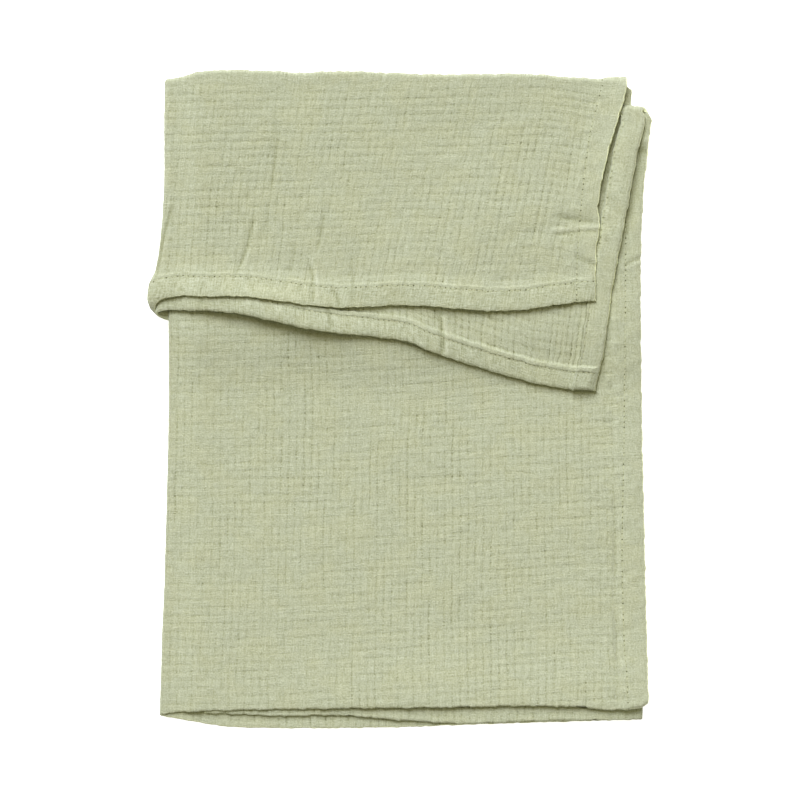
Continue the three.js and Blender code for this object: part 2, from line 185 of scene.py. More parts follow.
# %% Free side edges of the front panel, one for each level
INNER_SIDE = ragged({
    -262: 213, 0: 207.3, 130: 205.5, 230: 197.8, 250: 199.2, 262: 199.8, 267.8: 199.7, 269.2: 197,
    276: 194,
}, 6)
BODY_SIDE = ragged({
    -262: 214.5, -130: 211.4, 0: 208.7, 125: 207.8, 190: 210.8, 205: 213, 219: 214.2, 230: 215.2,
    236: 216.2, 242: 217.2, 246: 215.8, 249: 212.6,
}, 7)
UNDER_FLAP_SIDE = ragged({
    8: 168.6, 36: 175.2, 102: 184.9, 180: 199, 212: 204.8, 224: 207.8, 238: 211, 244: 211.2,
    248: 209,
}, 8)
UPPER_FLAP_SIDE = ragged({
    84: 168.6, 128: 169.4, 150: 172.2, 168: 170.9, 210: 179.2, 258: 193, 277: 196.2,
}, 9)
CORNER_START = 232
FRONT_SIDES = {1: INNER_SIDE, 2: BODY_SIDE, 3: UNDER_FLAP_SIDE, 4: UPPER_FLAP_SIDE}

# %% The creases at the left and right, and how far out the flap's loops reach
LEFT_CREASE = curve({-272: -204.4, -30: -196.8, 60: -196.6, 280: -196.4})
UNDER_FLAP_REACH = curve({72: 11.8, 78: 12.4, 104: 9.6, 150: 5.3, 240: 3.3})
UPPER_FLAP_REACH = curve({
    84: 12.6, 87: 13.2, 90: 17.4, 94: 19.2, 100: 19.5, 108: 18.4, 116: 14.4, 130: 11.6, 160: 7.6,
    204: 5.2, 280: 4.4,
})
RIGHT_CREASE = curve({-276: 206.8, -60: 205, 90: 200, 240: 190.5})
MIDDLE_SIDE = curve({-276: -168, 280: -166})

# %% Edges of the back and middle panels
BACK_BOTTOM_FOLD = ragged({
    -207: -272.6, -172: -278.9, -143: -282.8, -60: -283.6, 0: -283, 61: -280.6, 209: -276.2,
}, 12, 0.6)
MIDDLE_BOTTOM_FOLD = ragged({
    -168: -270.4, -103: -273, -54: -272.5, 0: -276.4, 56: -279.5, 125: -277.2, 209: -276.2,
}, 13, 1.2)
BACK_TOP_FOLD = curve({-201: 274.4, 0: 275, 190: 270})
BACK_INNER_FOLD = curve({-200: 265, 190: 258})
BACK_UPPER_HEM = curve({-200: 68, -120: 62, 200: 66})
BACK_UNDER_HEM = curve({-200: 70, -120: 56, 200: 58})

Panel = collections.namedtuple("Panel", "bottom_fold outer_fold inner_fold upper_hem under_hem")
PANELS = {
    "front": Panel(FRONT_BOTTOM_FOLD, OUTER_TOP_FOLD, INNER_TOP_FOLD, UPPER_HEM, UNDER_HEM),
    "back": Panel(
        BACK_BOTTOM_FOLD, BACK_TOP_FOLD, BACK_INNER_FOLD, BACK_UPPER_HEM, BACK_UNDER_HEM
    ),
    "middle": Panel(
        MIDDLE_BOTTOM_FOLD, BACK_TOP_FOLD, BACK_INNER_FOLD, BACK_UPPER_HEM, BACK_UNDER_HEM
    ),
}

# %% [markdown]
# ## Soft forms
# A pile of cloth is never flat. Each row below is a soft swell or hollow: where it is, how long
# and wide it is, which way it lies, and how much it adds. The first table scales the whole pile,
# as in the solid. The next two lift the flap's layers off what they lie on, which is what makes
# the soft shadows under the hems. A slow repeatable noise adds smaller swells to the front panel.

# %% Swells, hollows and lifted hems
Form = collections.namedtuple("Form", "x y long wide turn height")
SOFT_FORMS = [
    Form(-100, -150, 150, 60, 4, 0.05),
    Form(90, -60, 130, 50, -6, 0.06),
    Form(-60, 20, 120, 26, -8, -0.09),
    Form(60, 140, 120, 34, -3, 0.05),
    Form(-120, 190, 90, 40, 7, 0.04),
    Form(150, 150, 60, 9, 12, -0.05),
    Form(60, -215, 150, 24, 1, -0.05),
    Form(-150, -40, 22, 130, -3, -0.04),
]
UNDER_FLAP_LIFTS = [
    Form(-118, 70, 62, 26, -9, 7),
    Form(-58, 52, 40, 16, -16, 4),
    Form(16, 38, 30, 18, -24, 3),
    Form(70, 20, 40, 14, -22, 1.2),
    Form(130, 10, 50, 12, -8, 0.9),
]
UPPER_FLAP_LIFTS = [
    Form(186, 205, 70, 13, 80, 4),
    Form(-20, 78, 40, 12, 0, 0.6),
    Form(50, 76, 34, 14, -2, 2.2),
    Form(118, 78, 40, 14, 6, 1.8),
    Form(-130, 86, 70, 9, 0, 1.9),
]


def bump_of(form, x, y):
    """One soft round or oval form, 1 times its height at its middle."""
    turn = math.radians(form.turn)
    dx = x - form.x
    dy = y - form.y
    along = (dx * math.cos(turn) + dy * math.sin(turn)) / form.long
    across = (dy * math.cos(turn) - dx * math.sin(turn)) / form.wide
    return form.height * np.exp(-along * along - across * across)


def sum_of_forms(forms, x, y):
    return sum(bump_of(form, x, y) for form in forms)


# %% Repeatable noise
def lattice_value(i, j, seed):
    mixed = np.sin(i * 127.1 + j * 311.7 + seed * 74.7) * 43758.5453
    return mixed - np.floor(mixed)


def noise(u, v, seed):
    """Smooth noise from 0 to 1 that changes over a distance of 1."""
    i, j = np.floor(u), np.floor(v)
    a, b = rise(u - i, 1), rise(v - j, 1)
    low = mix(lattice_value(i, j, seed), lattice_value(i + 1, j, seed), a)
    high = mix(lattice_value(i, j + 1, seed), lattice_value(i + 1, j + 1, seed), a)
    return mix(low, high, b)


def uneven(u, v, seed):
    """The same noise round zero."""
    return noise(u, v, seed) - 0.5


# %% [markdown]
# ## Heights of the layers
# Each layer lies on the ones below it. Where a hidden hem ends, the layers above come down in a
# soft ramp, and a hem is a little thicker than the cloth. These rules are the solid's own, so
# the fine cloth fills the same space. Only the fine cloth has the small lifts on top of them:
# slow swells, a side hem and bottom folds that stand up a little, and some air under the flap.

# %% Heights of the middle of each layer
SIDE_HEM_LIFT = 2.6
SIDE_HEM_RAMP = 4
SIDE_LIFT_START = 80
SIDE_LIFT_OVER = 90
UNDER_FOLD_START = 244
UNDER_FOLD_OVER = 25
LIFT_AT_FOLD = 0.15
SWELL_HEIGHT = 0.6
FLAP_SWELL_HEIGHT = 0.9 * SWELL_HEIGHT
BOTTOM_LIFTS = {"front": 3.2, "middle": 1.2, "back": 0.3}
BOTTOM_LIFT_START = -190
BOTTOM_LIFT_OVER = 75
BOTTOM_LIFT_ACROSS = 300


def bottom_lift(panel, x, y):
    """How far a panel's bottom fold puffs up, less towards the left crease."""
    downward = rise(BOTTOM_LIFT_START - y, BOTTOM_LIFT_OVER)
    return BOTTOM_LIFTS[panel] * downward * rise(x - LEFT_EDGE, BOTTOM_LIFT_ACROSS)


def flap_there(hem, x, y):
    """How much of a flap layer lies at a place: less and less below its hem."""
    return rise(y - hem(x) + HEM_DROP, HEM_DROP)


def hem_there(distance):
    """How much of a hem's extra thickness lies at a distance in from the edge."""
    return rise(distance + HEM_EASE, HEM_EASE) * rise(HEM_WIDTH + HEM_EASE - distance, HEM_EASE)


def side_hem_lift(x, y):
    """The side hem of the under flap stands up, more towards the top, but not at the fold."""
    inset = UNDER_FLAP_SIDE(y) - x
    in_hem = rise(HEM_WIDTH + HEM_STEP - inset, SIDE_HEM_RAMP)
    upward = rise(y - SIDE_LIFT_START, SIDE_LIFT_OVER)
    to_fold = mix(LIFT_AT_FOLD, 1, rise(UNDER_FOLD_START - y, UNDER_FOLD_OVER))
    return SIDE_HEM_LIFT * in_hem * upward * to_fold


def swell(x, y):
    """Slow and less slow swells, about -1.3 to 1.3 times their height."""
    return 1.6 * uneven(x / 90, y / 80, 22) + uneven(x / 45, y / 38, 20)


def back_height(level, x, y):
    upper = flap_there(BACK_UPPER_HEM, x, y)
    under = flap_there(BACK_UNDER_HEM, x, y)
    layers_below = {4: 0 * upper, 3: upper, 2: upper + under, 1: upper + under + 1}
    return CLOTH / 2 + PITCH * layers_below[level] + bottom_lift("back", x, y)


def middle_height(level, x, y):
    on_back = flap_there(BACK_UPPER_HEM, x, y) + flap_there(BACK_UNDER_HEM, x, y) + 2
    return CLOTH / 2 + PITCH * (on_back + level - 1) + bottom_lift("middle", x, y)


def front_height(level, x, y):
    flaps = flap_there(BACK_UPPER_HEM, x, y) + flap_there(BACK_UNDER_HEM, x, y)
    middle = rise(x - MIDDLE_SIDE(y) + SIDE_DROP + SIDE_MARGIN, SIDE_DROP)
    height = CLOTH / 2 + PITCH * (flaps + 2 + middle * (2 + flaps) + level - 1)
    height = height + bottom_lift("front", x, y) + SWELL_HEIGHT * swell(x, y)
    below_corner = np.minimum(y, CORNER_START)
    if level >= 2:
        height = height + 2 * HEM_EXTRA * hem_there(BODY_SIDE(below_corner) - x)
    if level >= 3:
        height = height + UNDER_FLAP_LIFT + sum_of_forms(UNDER_FLAP_LIFTS, x, y)
        height = height + side_hem_lift(x, y)
    if level >= 4:
        under_side = UNDER_FLAP_SIDE(below_corner)
        under_hem = np.maximum(hem_there(under_side - x), hem_there(y - UNDER_HEM(x)))
        upper_hem = np.maximum(hem_there(UPPER_FLAP_SIDE(y) - x), hem_there(y - UPPER_HEM(x)))
        lift = UPPER_FLAP_LIFT + sum_of_forms(UPPER_FLAP_LIFTS, x, y)
        lift = lift + FLAP_SWELL_HEIGHT * (1 + swell(x, y))
        height = height + lift + HEM_EXTRA * (under_hem + upper_hem)
    return height


HEIGHTS = {"front": front_height, "back": back_height, "middle": middle_height}

# %% [markdown]
# ## From the flat sheet to the pile
# Every point of the cloth has two numbers. `across` runs from one free side to the other: 0 to 1
# on the front panel, 1 to 2 round the left crease, 2 to 3 on the back panel, 3 to 4 round the
# right crease, and 4 to 5 on the middle panel. `along` runs from one end hem to the other in
# seven sections, layer and fold by turns. The functions below turn the two numbers into a place.

# %% Sections along the cloth
Layer = collections.namedtuple("Layer", "level runs")
Fold = collections.namedtuple("Fold", "start end points")
Here = collections.namedtuple("Here", "start end turned out share")

INNER_FOLD = Fold(3, 2, 1)
BOTTOM_FOLD = Fold(2, 1, -1)
OUTER_FOLD = Fold(1, 4, 1)
SECTIONS = [
    Layer(3, 1), INNER_FOLD, Layer(2, -1), BOTTOM_FOLD, Layer(1, 1), OUTER_FOLD, Layer(4, -1),
]
HEM_SHARE = 0.2
STEP_SHARE = 0.22
SIDE_HEM_SHARE = 0.08
SIDE_STEP_SHARE = 0.09


def section_at(index, share):
    """The levels that a place lies between, and how far it has turned from one to the other."""
    section = SECTIONS[index]
    if isinstance(section, Layer):
        upward = share if section.runs > 0 else 1 - share
        return Here(section.level, section.level, 0 * share, 0 * share, upward)
    turned = (1 - np.cos(math.pi * share)) / 2
    out = section.points * np.sin(math.pi * share)
    end = 1.0 if section.points > 0 else 0.0
    return Here(section.start, section.end, turned, out, end + 0 * share)


# %% Where a layer starts and ends along the pile
def fold_reach(fold, panel, x, y):
    """A fold is half a circle: it reaches half as far as its levels lie apart."""
    height = HEIGHTS[panel]
    return abs(height(fold.end, x, y) - height(fold.start, x, y)) / 2


def top_line(level, panel, x):
    lines = PANELS[panel]
    outside = level in (OUTER_FOLD.start, OUTER_FOLD.end)
    fold = OUTER_FOLD if outside else INNER_FOLD
    edge = lines.outer_fold(x) if outside else lines.inner_fold(x)
    return edge - fold_reach(fold, panel, x, edge) - CLOTH / 2


def bottom_line(level, panel, x):
    lines = PANELS[panel]
    if level == 4:
        return lines.upper_hem(x)
    if level == 3:
        return lines.under_hem(x)
    edge = lines.bottom_fold(x)
    return edge + fold_reach(BOTTOM_FOLD, panel, x, edge) + CLOTH / 2


def hem_inset(share, hem_share, step_share):
    """How far in from its edge a share lies, up to the end of the hem's step."""
    in_step = np.clip((share - hem_share) / (step_share - hem_share), 0, 1)
    return HEM_WIDTH * np.minimum(share / hem_share, 1) + HEM_STEP * in_step


def layer_place(level, panel, x, share):
    """Place up the pile. The mesh lines of the body are even, and bend to its folds at the ends."""
    bottom = bottom_line(level, panel, x)
    top = top_line(level, panel, x)
    if level >= 3:
        inset = hem_inset(share, HEM_SHARE, STEP_SHARE)
        past_step = np.clip((share - STEP_SHARE) / (1 - STEP_SHARE), 0, 1)
        return bottom + inset + (top - bottom - HEM_WIDTH - HEM_STEP) * past_step
    even = mix(BODY_BOTTOM, BODY_TOP, share)
    return even + (bottom - BODY_BOTTOM) * (1 - share) ** 4 + (top - BODY_TOP) * share ** 8


# %% A point of each panel
def panel_point(panel, here, x, x_at):
    guess = layer_place(here.start, panel, x, here.share)
    x_here = mix(x_at(here.start, guess), x_at(here.end, guess), here.turned)
    base = layer_place(here.start, panel, x_here, here.share)
    start = HEIGHTS[panel](here.start, x_here, base)
    end = HEIGHTS[panel](here.end, x_here, base)
    y_here = base + abs(end - start) / 2 * here.out
    return np.stack([x_here, y_here, mix(start, end, here.turned)], axis=-1)


def side_hem_place(share, edge, usual_edge, crease):
    """A place in from a free side: the hem keeps its width, then the levels fall in line."""
    inward = np.sign(crease - edge)
    inset = hem_inset(share, SIDE_HEM_SHARE, SIDE_STEP_SHARE)
    u = np.clip((share - SIDE_STEP_SHARE) / (1 - SIDE_STEP_SHARE), 0, 1)
    step_end = usual_edge + inward * (HEM_WIDTH + HEM_STEP)
    past_step = mix(step_end, crease, u) + (edge - usual_edge) * (1 - u) ** 4
    return np.where(share <= SIDE_STEP_SHARE, edge + inward * inset, past_step)


def front_point(share, here):
    def x_at(level, y):
        return side_hem_place(share, FRONT_SIDES[level](y), FRONT_EDGE, LEFT_CREASE(y))

    return panel_point("front", here, mix(FRONT_EDGE, LEFT_EDGE, share), x_at)


def back_point(share, here):
    def x_at(level, y):
        return mix(LEFT_CREASE(y), RIGHT_CREASE(y), share)

    return panel_point("back", here, mix(LEFT_EDGE, RIGHT_EDGE, share), x_at)


def middle_point(share, here):
    def x_at(level, y):
        return side_hem_place(1 - share, MIDDLE_SIDE(y), MIDDLE_EDGE, RIGHT_CREASE(y))

    return panel_point("middle", here, mix(RIGHT_EDGE, MIDDLE_EDGE, share), x_at)


# %% A point of each crease, which is half an oval from one panel to the next
def crease_point(start, end, share, side, reach):
    turned = ((1 - np.cos(math.pi * share)) / 2)[:, None]
    point = mix(start, end, turned)
    point[:, 0] += side * reach * np.sin(math.pi * share)
    return point


def left_reach(level, y, round_reach):
    if level == 4:
        return np.maximum(UPPER_FLAP_REACH(y), round_reach)
    if level == 3:
        return np.maximum(UNDER_FLAP_REACH(y), round_reach)
    return round_reach


def left_crease_point(share, here):
    start = front_point(1 + 0 * share, here)
    end = back_point(0 * share, here)
    round_reach = abs(start[:, 2] - end[:, 2]) / 2
    near = left_reach(here.start, start[:, 1], round_reach)
    far = left_reach(here.end, start[:, 1], round_reach)
    return crease_point(start, end, share, -1, mix(near, far, here.turned))


def right_crease_point(share, here):
    start = back_point(1 + 0 * share, here)
    end = middle_point(0 * share, here)
    return crease_point(start, end, share, 1, abs(start[:, 2] - end[:, 2]) / 2)


STRETCHES = [front_point, left_crease_point, back_point, right_crease_point, middle_point]


# %% The middle of the cloth's thickness, and which way it faces
def cloth_points(across, along):
    """Places in millimetres for two lists of numbers across and along the sheet."""
    points = np.empty((len(across), 3))
    stretch = np.minimum(across.astype(int), len(STRETCHES) - 1)
    section = np.minimum(along.astype(int), len(SECTIONS) - 1)
    for i, point_of in enumerate(STRETCHES):
        for j in range(len(SECTIONS)):
            chosen = (stretch == i) & (section == j)
            if chosen.any():
                here = section_at(j, along[chosen] - j)
                points[chosen] = point_of(across[chosen] - i, here)
    points[:, 2] *= 1 + sum_of_forms(SOFT_FORMS, points[:, 0], points[:, 1])
    return points


NUDGE = 1e-4


def cloth_normals(across, along):
    """The side of the cloth that faces out before it is folded."""
    last_across = float(len(STRETCHES))
    last_along = float(len(SECTIONS))
    before = cloth_points(np.maximum(across - NUDGE, 0), along)
    after = cloth_points(np.minimum(across + NUDGE, last_across), along)
    below = cloth_points(across, np.maximum(along - NUDGE, 0))
    above = cloth_points(across, np.minimum(along + NUDGE, last_along))
    normals = np.cross(after - before, above - below)
    return normals / np.linalg.norm(normals, axis=1, keepdims=True)


# %% [markdown]
# ## Lines of the mesh
# The crinkles need a cell of about 1.9 mm, but the sheet has 3.6 square metres of surface, and
# most of it is hidden between the layers. So the mesh lines come in blocks of 6 by 6 fine cells.
# A block that shows is filled with its fine cells. Hidden blocks become single faces, two by two
# where the cloth lies flat. Folds have a block for each step, so that they stay round.

# %% Mesh lines in blocks
CELLS = 6
EDGE_ROUND = 0.8
HEM_LINES = [(0, 0.08, 0.32), (0.8, 3.4, 6.2, 9, 11.8), (14.4, 15.8, 16.6, 17.2, 17.8, 18.6)]
STEP_LINES = np.array([0, 0.4, 0.75, 0.95])


def blocks_between(start, end, count, cells=1):
    """Blocks of lines, each from its start up to where the next one starts."""
    ends = np.linspace(start, end, count + 1)
    return [np.linspace(a, b, cells + 1)[:-1] for a, b in zip(ends, ends[1:])]


def hem_blocks(hem_share, step_share):
    """Blocks of lines over a hem, close together at its edge and beside its stitches."""
    in_hem = [np.array(lines) / HEM_WIDTH * hem_share for lines in HEM_LINES]
    return [*in_hem, hem_share + STEP_LINES * (step_share - hem_share)]


def turned_round(blocks, end):
    """The same blocks, from the end of a stretch of length 1 that ends at 'end'."""
    lines = np.append(np.concatenate(blocks), 1)
    starts = np.cumsum([0] + [len(block) for block in blocks])
    pairs = list(zip(starts, starts[1:]))[::-1]
    return [(end - lines[a + 1:b + 1])[::-1] for a, b in pairs]


def assemble(parts, end):
    """All the lines, the line that each block starts at, and the block each group starts at."""
    blocks = [block for part, _ in parts for block in part]
    lines = np.append(np.concatenate(blocks), end)
    starts = np.cumsum([0] + [len(block) for block in blocks])
    groups, first = [], 0
    for part, size in parts:
        groups += range(first, first + len(part), size)
        first += len(part)
    return lines, starts, [*groups, len(blocks)]


side_hem = hem_blocks(SIDE_HEM_SHARE, SIDE_STEP_SHARE)
front_panel = blocks_between(SIDE_STEP_SHARE, 1, 33, CELLS)
middle_panel = blocks_between(SIDE_STEP_SHARE, 1, 28, CELLS)
middle_turned = turned_round(side_hem + middle_panel, len(STRETCHES))
across_lines, across_starts, across_groups = assemble([
    (side_hem, 1),
    (front_panel, 2),
    (blocks_between(1, 1.5, 8, 2), 1),
    (blocks_between(1.5, 2, 6), 1),
    (blocks_between(2, 3, 34, CELLS), 2),
    (blocks_between(3, 4, 8), 1),
    (middle_turned[:len(middle_panel)], 2),
    (middle_turned[len(middle_panel):], 1),
], len(STRETCHES))

end_hem = hem_blocks(HEM_SHARE, STEP_SHARE)
flap = blocks_between(STEP_SHARE, 1, 16, CELLS)
flap_turned = turned_round(end_hem + flap, len(SECTIONS))
along_lines, along_starts, along_groups = assemble([
    (end_hem, 1),
    (flap[:2], 1),
    (flap[2:], 2),
    (blocks_between(1, 2, 8), 1),
    (blocks_between(2, 3, 45, CELLS), 2),
    (blocks_between(3, 4, 8), 1),
    (blocks_between(4, 4.07, 3, CELLS), 1),
    (blocks_between(4.07, 4.95, 36), 2),
    (blocks_between(4.95, 5, 2, CELLS), 1),
    (blocks_between(5, 6, 12), 1),
    (flap_turned[:len(flap) - 2], 2),
    (flap_turned[len(flap) - 2:len(flap)], 1),
    (flap_turned[len(flap):], 1),
], len(SECTIONS))
line_count = (len(across_lines), len(along_lines))
print("mesh lines:", line_count)

# %% [markdown]
# ## Which blocks show
# A coarse cloth with one face for each block is enough to tell. From each block a few rays go
# up and outwards. If any of them leaves without meeting another layer, the block shows. The
# cloth has two skins, the right side, called outer, and the wrong side, called inner, and each
# is tested on its own.

# %% Coarse cloth for the rays
def grid_points(across, along):
    """Places and normals for every pair of lines, as two grids."""
    a, b = np.meshgrid(across, along, indexing="ij")
    shape = (len(across), len(along), 3)
    points = cloth_points(a.ravel(), b.ravel()).reshape(shape)
    normals = cloth_normals(a.ravel(), b.ravel()).reshape(shape)
    return points, normals


def quads_of(numbers):
    """Four corners for each cell of a grid of vertex numbers."""
    corners = [numbers[:-1, :-1], numbers[1:, :-1], numbers[1:, 1:], numbers[:-1, 1:]]
    return np.stack([corner.ravel() for corner in corners], axis=1)


coarse_points, coarse_normals = grid_points(
    across_lines[across_starts], along_lines[along_starts]
)
coarse_numbers = np.arange(coarse_points[..., 0].size).reshape(coarse_points.shape[:2])
coarse_tree = BVHTree.FromPolygons(
    coarse_points.reshape(-1, 3).tolist(), quads_of(coarse_numbers).tolist()
)

# %% Rays from every block
RAY_START = 0.25
TILT = 0.6
STRAIGHT_UP = Vector((0, 0, 1))
TILTED = [Vector(way).normalized() for way in (
    (TILT, 0, 1), (-TILT, 0, 1), (0, TILT, 1), (0, -TILT, 1),
)]
CENTRE = (0.5, 0.5)
SHARES = (0.02, 0.34, 0.66, 0.98)


def inside_blocks(grid, u, v):
    """The value at a share of the way across and along every block."""
    low = mix(grid[:-1, :-1], grid[1:, :-1], u)
    high = mix(grid[:-1, 1:], grid[1:, 1:], u)
    return mix(low, high, v)


def look_out(shows, way, share, side):
    """Marks the blocks where a ray from a place in them leaves without meeting the cloth."""
    facing = side * inside_blocks(coarse_normals, *share)
    places = inside_blocks(coarse_points, *share) + RAY_START * facing
    for i, j in np.argwhere(~shows & (facing @ np.array(way) > 0)):
        shows[i, j] = coarse_tree.ray_cast(Vector(places[i, j]), way)[0] is None


def blocks_that_show(side):
    """'side' is 1 for the outer skin and -1 for the inner one."""
    shows = np.zeros((len(across_starts) - 1, len(along_starts) - 1), bool)
    for share in itertools.product(SHARES, SHARES):
        look_out(shows, STRAIGHT_UP, share, side)
    for way in TILTED:
        look_out(shows, way, CENTRE, side)
    return shows


SKINS = (1, -1)
fine_blocks = [blocks_that_show(side) for side in SKINS]
print("fine blocks, outer and inner:", [int(fine.sum()) for fine in fine_blocks])

# %% [markdown]
# ## Faces
# Now the faces can be listed, still as numbers of mesh lines. A hidden face takes in the fine
# points of its neighbours, so that the mesh stays closed. The two skins share their outermost
# points, at the free edges of the hems.

# %% Patches: fine blocks, and hidden blocks in groups
Patch = collections.namedtuple("Patch", "left right low high fine")


def patch_at(i, i_end, j, j_end, fine):
    return Patch(across_starts[i], across_starts[i_end], along_starts[j], along_starts[j_end], fine)


def patches_of(fine):
    patches = []
    for i, i_end in zip(across_groups, across_groups[1:]):
        for j, j_end in zip(along_groups, along_groups[1:]):
            group = fine[i:i_end, j:j_end]
            if not group.any():
                patches.append(patch_at(i, i_end, j, j_end, False))
                continue
            for (a, b), shows in np.ndenumerate(group):
                patches.append(patch_at(i + a, i + a + 1, j + b, j + b + 1, shows))
    return patches


def lines_in(patch):
    return slice(patch.left, patch.right + 1), slice(patch.low, patch.high + 1)


def points_used(patches):
    used = np.zeros(line_count, bool)
    for patch in patches:
        if patch.fine:
            used[lines_in(patch)] = True
        else:
            used[np.ix_([patch.left, patch.right], [patch.low, patch.high])] = True
    return used


# %% Numbers of the points of both skins
at_edge = np.zeros(line_count, bool)
at_edge[[0, -1], :] = True
at_edge[:, [0, -1]] = True
skin_patches = [patches_of(fine) for fine in fine_blocks]
outer_used, inner_used = [points_used(patches) for patches in skin_patches]
shared = (outer_used | inner_used) & at_edge
outer_used |= shared
inner_own = inner_used & ~at_edge

outer_numbers = np.full(line_count, -1)
outer_numbers[outer_used] = np.arange(outer_used.sum())
inner_numbers = np.where(shared, outer_numbers, -1)
inner_numbers[inner_own] = outer_used.sum() + np.arange(inner_own.sum())
skin_numbers = (outer_numbers, inner_numbers)
vertex_count = int(outer_used.sum() + inner_own.sum())


# %% Faces of both skins
def ring_round(number, patch):
    """The used points round the border of a patch, in order."""
    left, right, low, high, _ = patch
    ring = [
        *number[left:right, low],
        *number[right, low:high],
        *number[right:left:-1, high],
        *number[left, high:low:-1],
    ]
    return [int(point) for point in ring if point >= 0]


def faces_of(number, patches, side):
    faces = []
    for patch in patches:
        if patch.fine:
            faces += quads_of(number[lines_in(patch)]).tolist()
        else:
            faces.append(ring_round(number, patch))
    return faces if side > 0 else [face[::-1] for face in faces]


faces = []
for number, patches, side in zip(skin_numbers, skin_patches, SKINS):
    faces += faces_of(number, patches, side)
print("points:", vertex_count, "triangles:", sum(len(face) - 2 for face in faces))

# %% [markdown]
# ## Places on the flat cloth
# The check, the weave and the stitches follow the threads of the cloth, so every point needs its
# place on the flat sheet too, in millimetres. On the layers that show, the threads lean and arch
# as the pulled cloth does: the weft climbs a little to the right on the body, and the warp leans
# over on the flap. The under flap's places are counted on from the body's, so that the check runs
# over the fold between them without a jump. A slow noise makes all threads wander a little.

# %% Where a point lies on the flat cloth
FLAP_LEAN = curve({-200: 0.1, -120: 0.12, 0: 0.18, 100: 0.18, 180: 0.15})
FLAP_MIDDLE = 180
FLAP_CLIMB = curve({-200: 0, -120: -1, 0: -4, 100: -6, 130: -5, 180: 3})
BODY_CLIMB = curve({-200: -1, -120: 0, -60: 2, 0: 6, 100: 12.5, 210: 19})
FLAT_ACROSS = {0: 0, SIDE_HEM_SHARE: 19.5, SIDE_STEP_SHARE: 20.5, 1: 405, 2: 425, 3: 826, 4: 841,
               4.91: 1179.5, 4.92: 1180.5, 5: 1200}
FLAT_ALONG = {0: 0, HEM_SHARE: 19.5, STEP_SHARE: 20.5, 1: 205, 2: 208, 3: 736, 4: 740, 5: 1268,
              6: 1278, 6.78: 1479.5, 6.8: 1480.5, 7: 1500}
BOTTOM_FOLD_PLACE = 738.5
UNDER_FLAP_SHIFT = 435.5
LOOP_LENGTH = 5
WANDER = 2.8
FINE_WANDER = 0.9


def from_table(table, values):
    return np.interp(values, list(table), list(table.values()))


def flat_places(across, along, points):
    """Two numbers for each point: across the warp and along it, in millimetres."""
    x, y = points[:, 0], points[:, 1]
    on_front = across < 2
    on_flap = on_front & (along > 5)
    on_body = on_front & (along > 2) & (along < 4)
    loop_length = LOOP_LENGTH + 2 * UPPER_FLAP_REACH(y)
    from_middle = np.where(across < 1, -x, -LEFT_EDGE + (across - 1) * loop_length)
    leaning = from_middle + FLAP_LEAN(x) * (y - FLAP_MIDDLE)
    u = np.where(on_flap, leaning, from_table(FLAT_ACROSS, across))
    v = from_table(FLAT_ALONG, along) - np.where(on_front & (along <= 2), UNDER_FLAP_SHIFT, 0)
    v = np.where(on_flap, -y - FLAP_CLIMB(x), v)
    v = np.where(on_body, -y + BODY_CLIMB(x), v)
    wander_u = WANDER * uneven(u / 70, v / 60, 1) + FINE_WANDER * uneven(u / 16, v / 13, 2)
    wander_v = WANDER * uneven(u / 65, v / 70, 3) + FINE_WANDER * uneven(u / 15, v / 16, 4)
    return u + wander_u, v + wander_v


# %% How far in from the free edges, and which layer of the front panel
SECTION_LEVELS = np.array([3, 3, 2, 2, 1, 4, 4])
FOLD_LINE = 1
FOLD_RIM = 2


def edge_distances(across, along):
    """Distances in from the nearest side hem's edge and from the nearest end hem's edge."""
    from_side = from_table(FLAT_ACROSS, np.minimum(across, len(STRETCHES) - across))
    from_end = from_table(FLAT_ALONG, np.minimum(along, len(SECTIONS) - along))
    return from_side, from_end


def rim_highlight_distance(along, from_side, from_end):
    """Distance from the nearest free edge or, close to it, from the line of the bottom fold. The
    material paints a highlight on the rims by it.
    """
    from_edge = np.minimum(from_side, from_end)
    from_line = abs(from_table(FLAT_ALONG, along) - BOTTOM_FOLD_PLACE)
    from_fold = np.maximum(from_line - FOLD_LINE, 0)
    return np.where(from_fold < FOLD_RIM, np.minimum(from_fold, from_edge), from_edge)


def level_of(across, along):
    """Level on the front and round the left crease, else 0. A fold has its upper layer's."""
    levels = SECTION_LEVELS[np.minimum(along.astype(int), len(SECTIONS) - 1)]
    return np.where(across < 2, levels, 0)


# %% [markdown]
# ## The check
# The two layers of gauze are woven together along fine lines, about 7 mm apart in both
# directions. There the cloth is pulled in, and it puffs up between them: that is the check. The
# lines are regular, but each is stronger in some places than in others, and they fade where the
# cloth is stretched over a fold or stitched down in a hem.

# %% Strength of the check and its relief
WEFT_PITCH = 6.9
WARP_PITCH = 6.45
WEFT_DEPTH = 0.34
WARP_DEPTH = 0.3
PUFF_HEIGHT = 0.3
HEM_CALM = 0.75
FOLD_CALM = 0.65
FOLD_REACH = 20
HEM_REACH = 2
INNER_FOLD_START = 0.98
INNER_FOLD_CALM = 0.9
UNDER_FLAP_BOLDER = 1.5
FLAP_START = 4.5
FLAP_WEFT = 0.7
FLAP_WARP = 0.86
BODY_WEFT = 0.62
BODY_WARP = 1


def in_hems(across, along):
    from_side, from_end = edge_distances(across, along)
    return 1 - rise(np.minimum(from_side, from_end) - HEM_WIDTH, HEM_REACH)


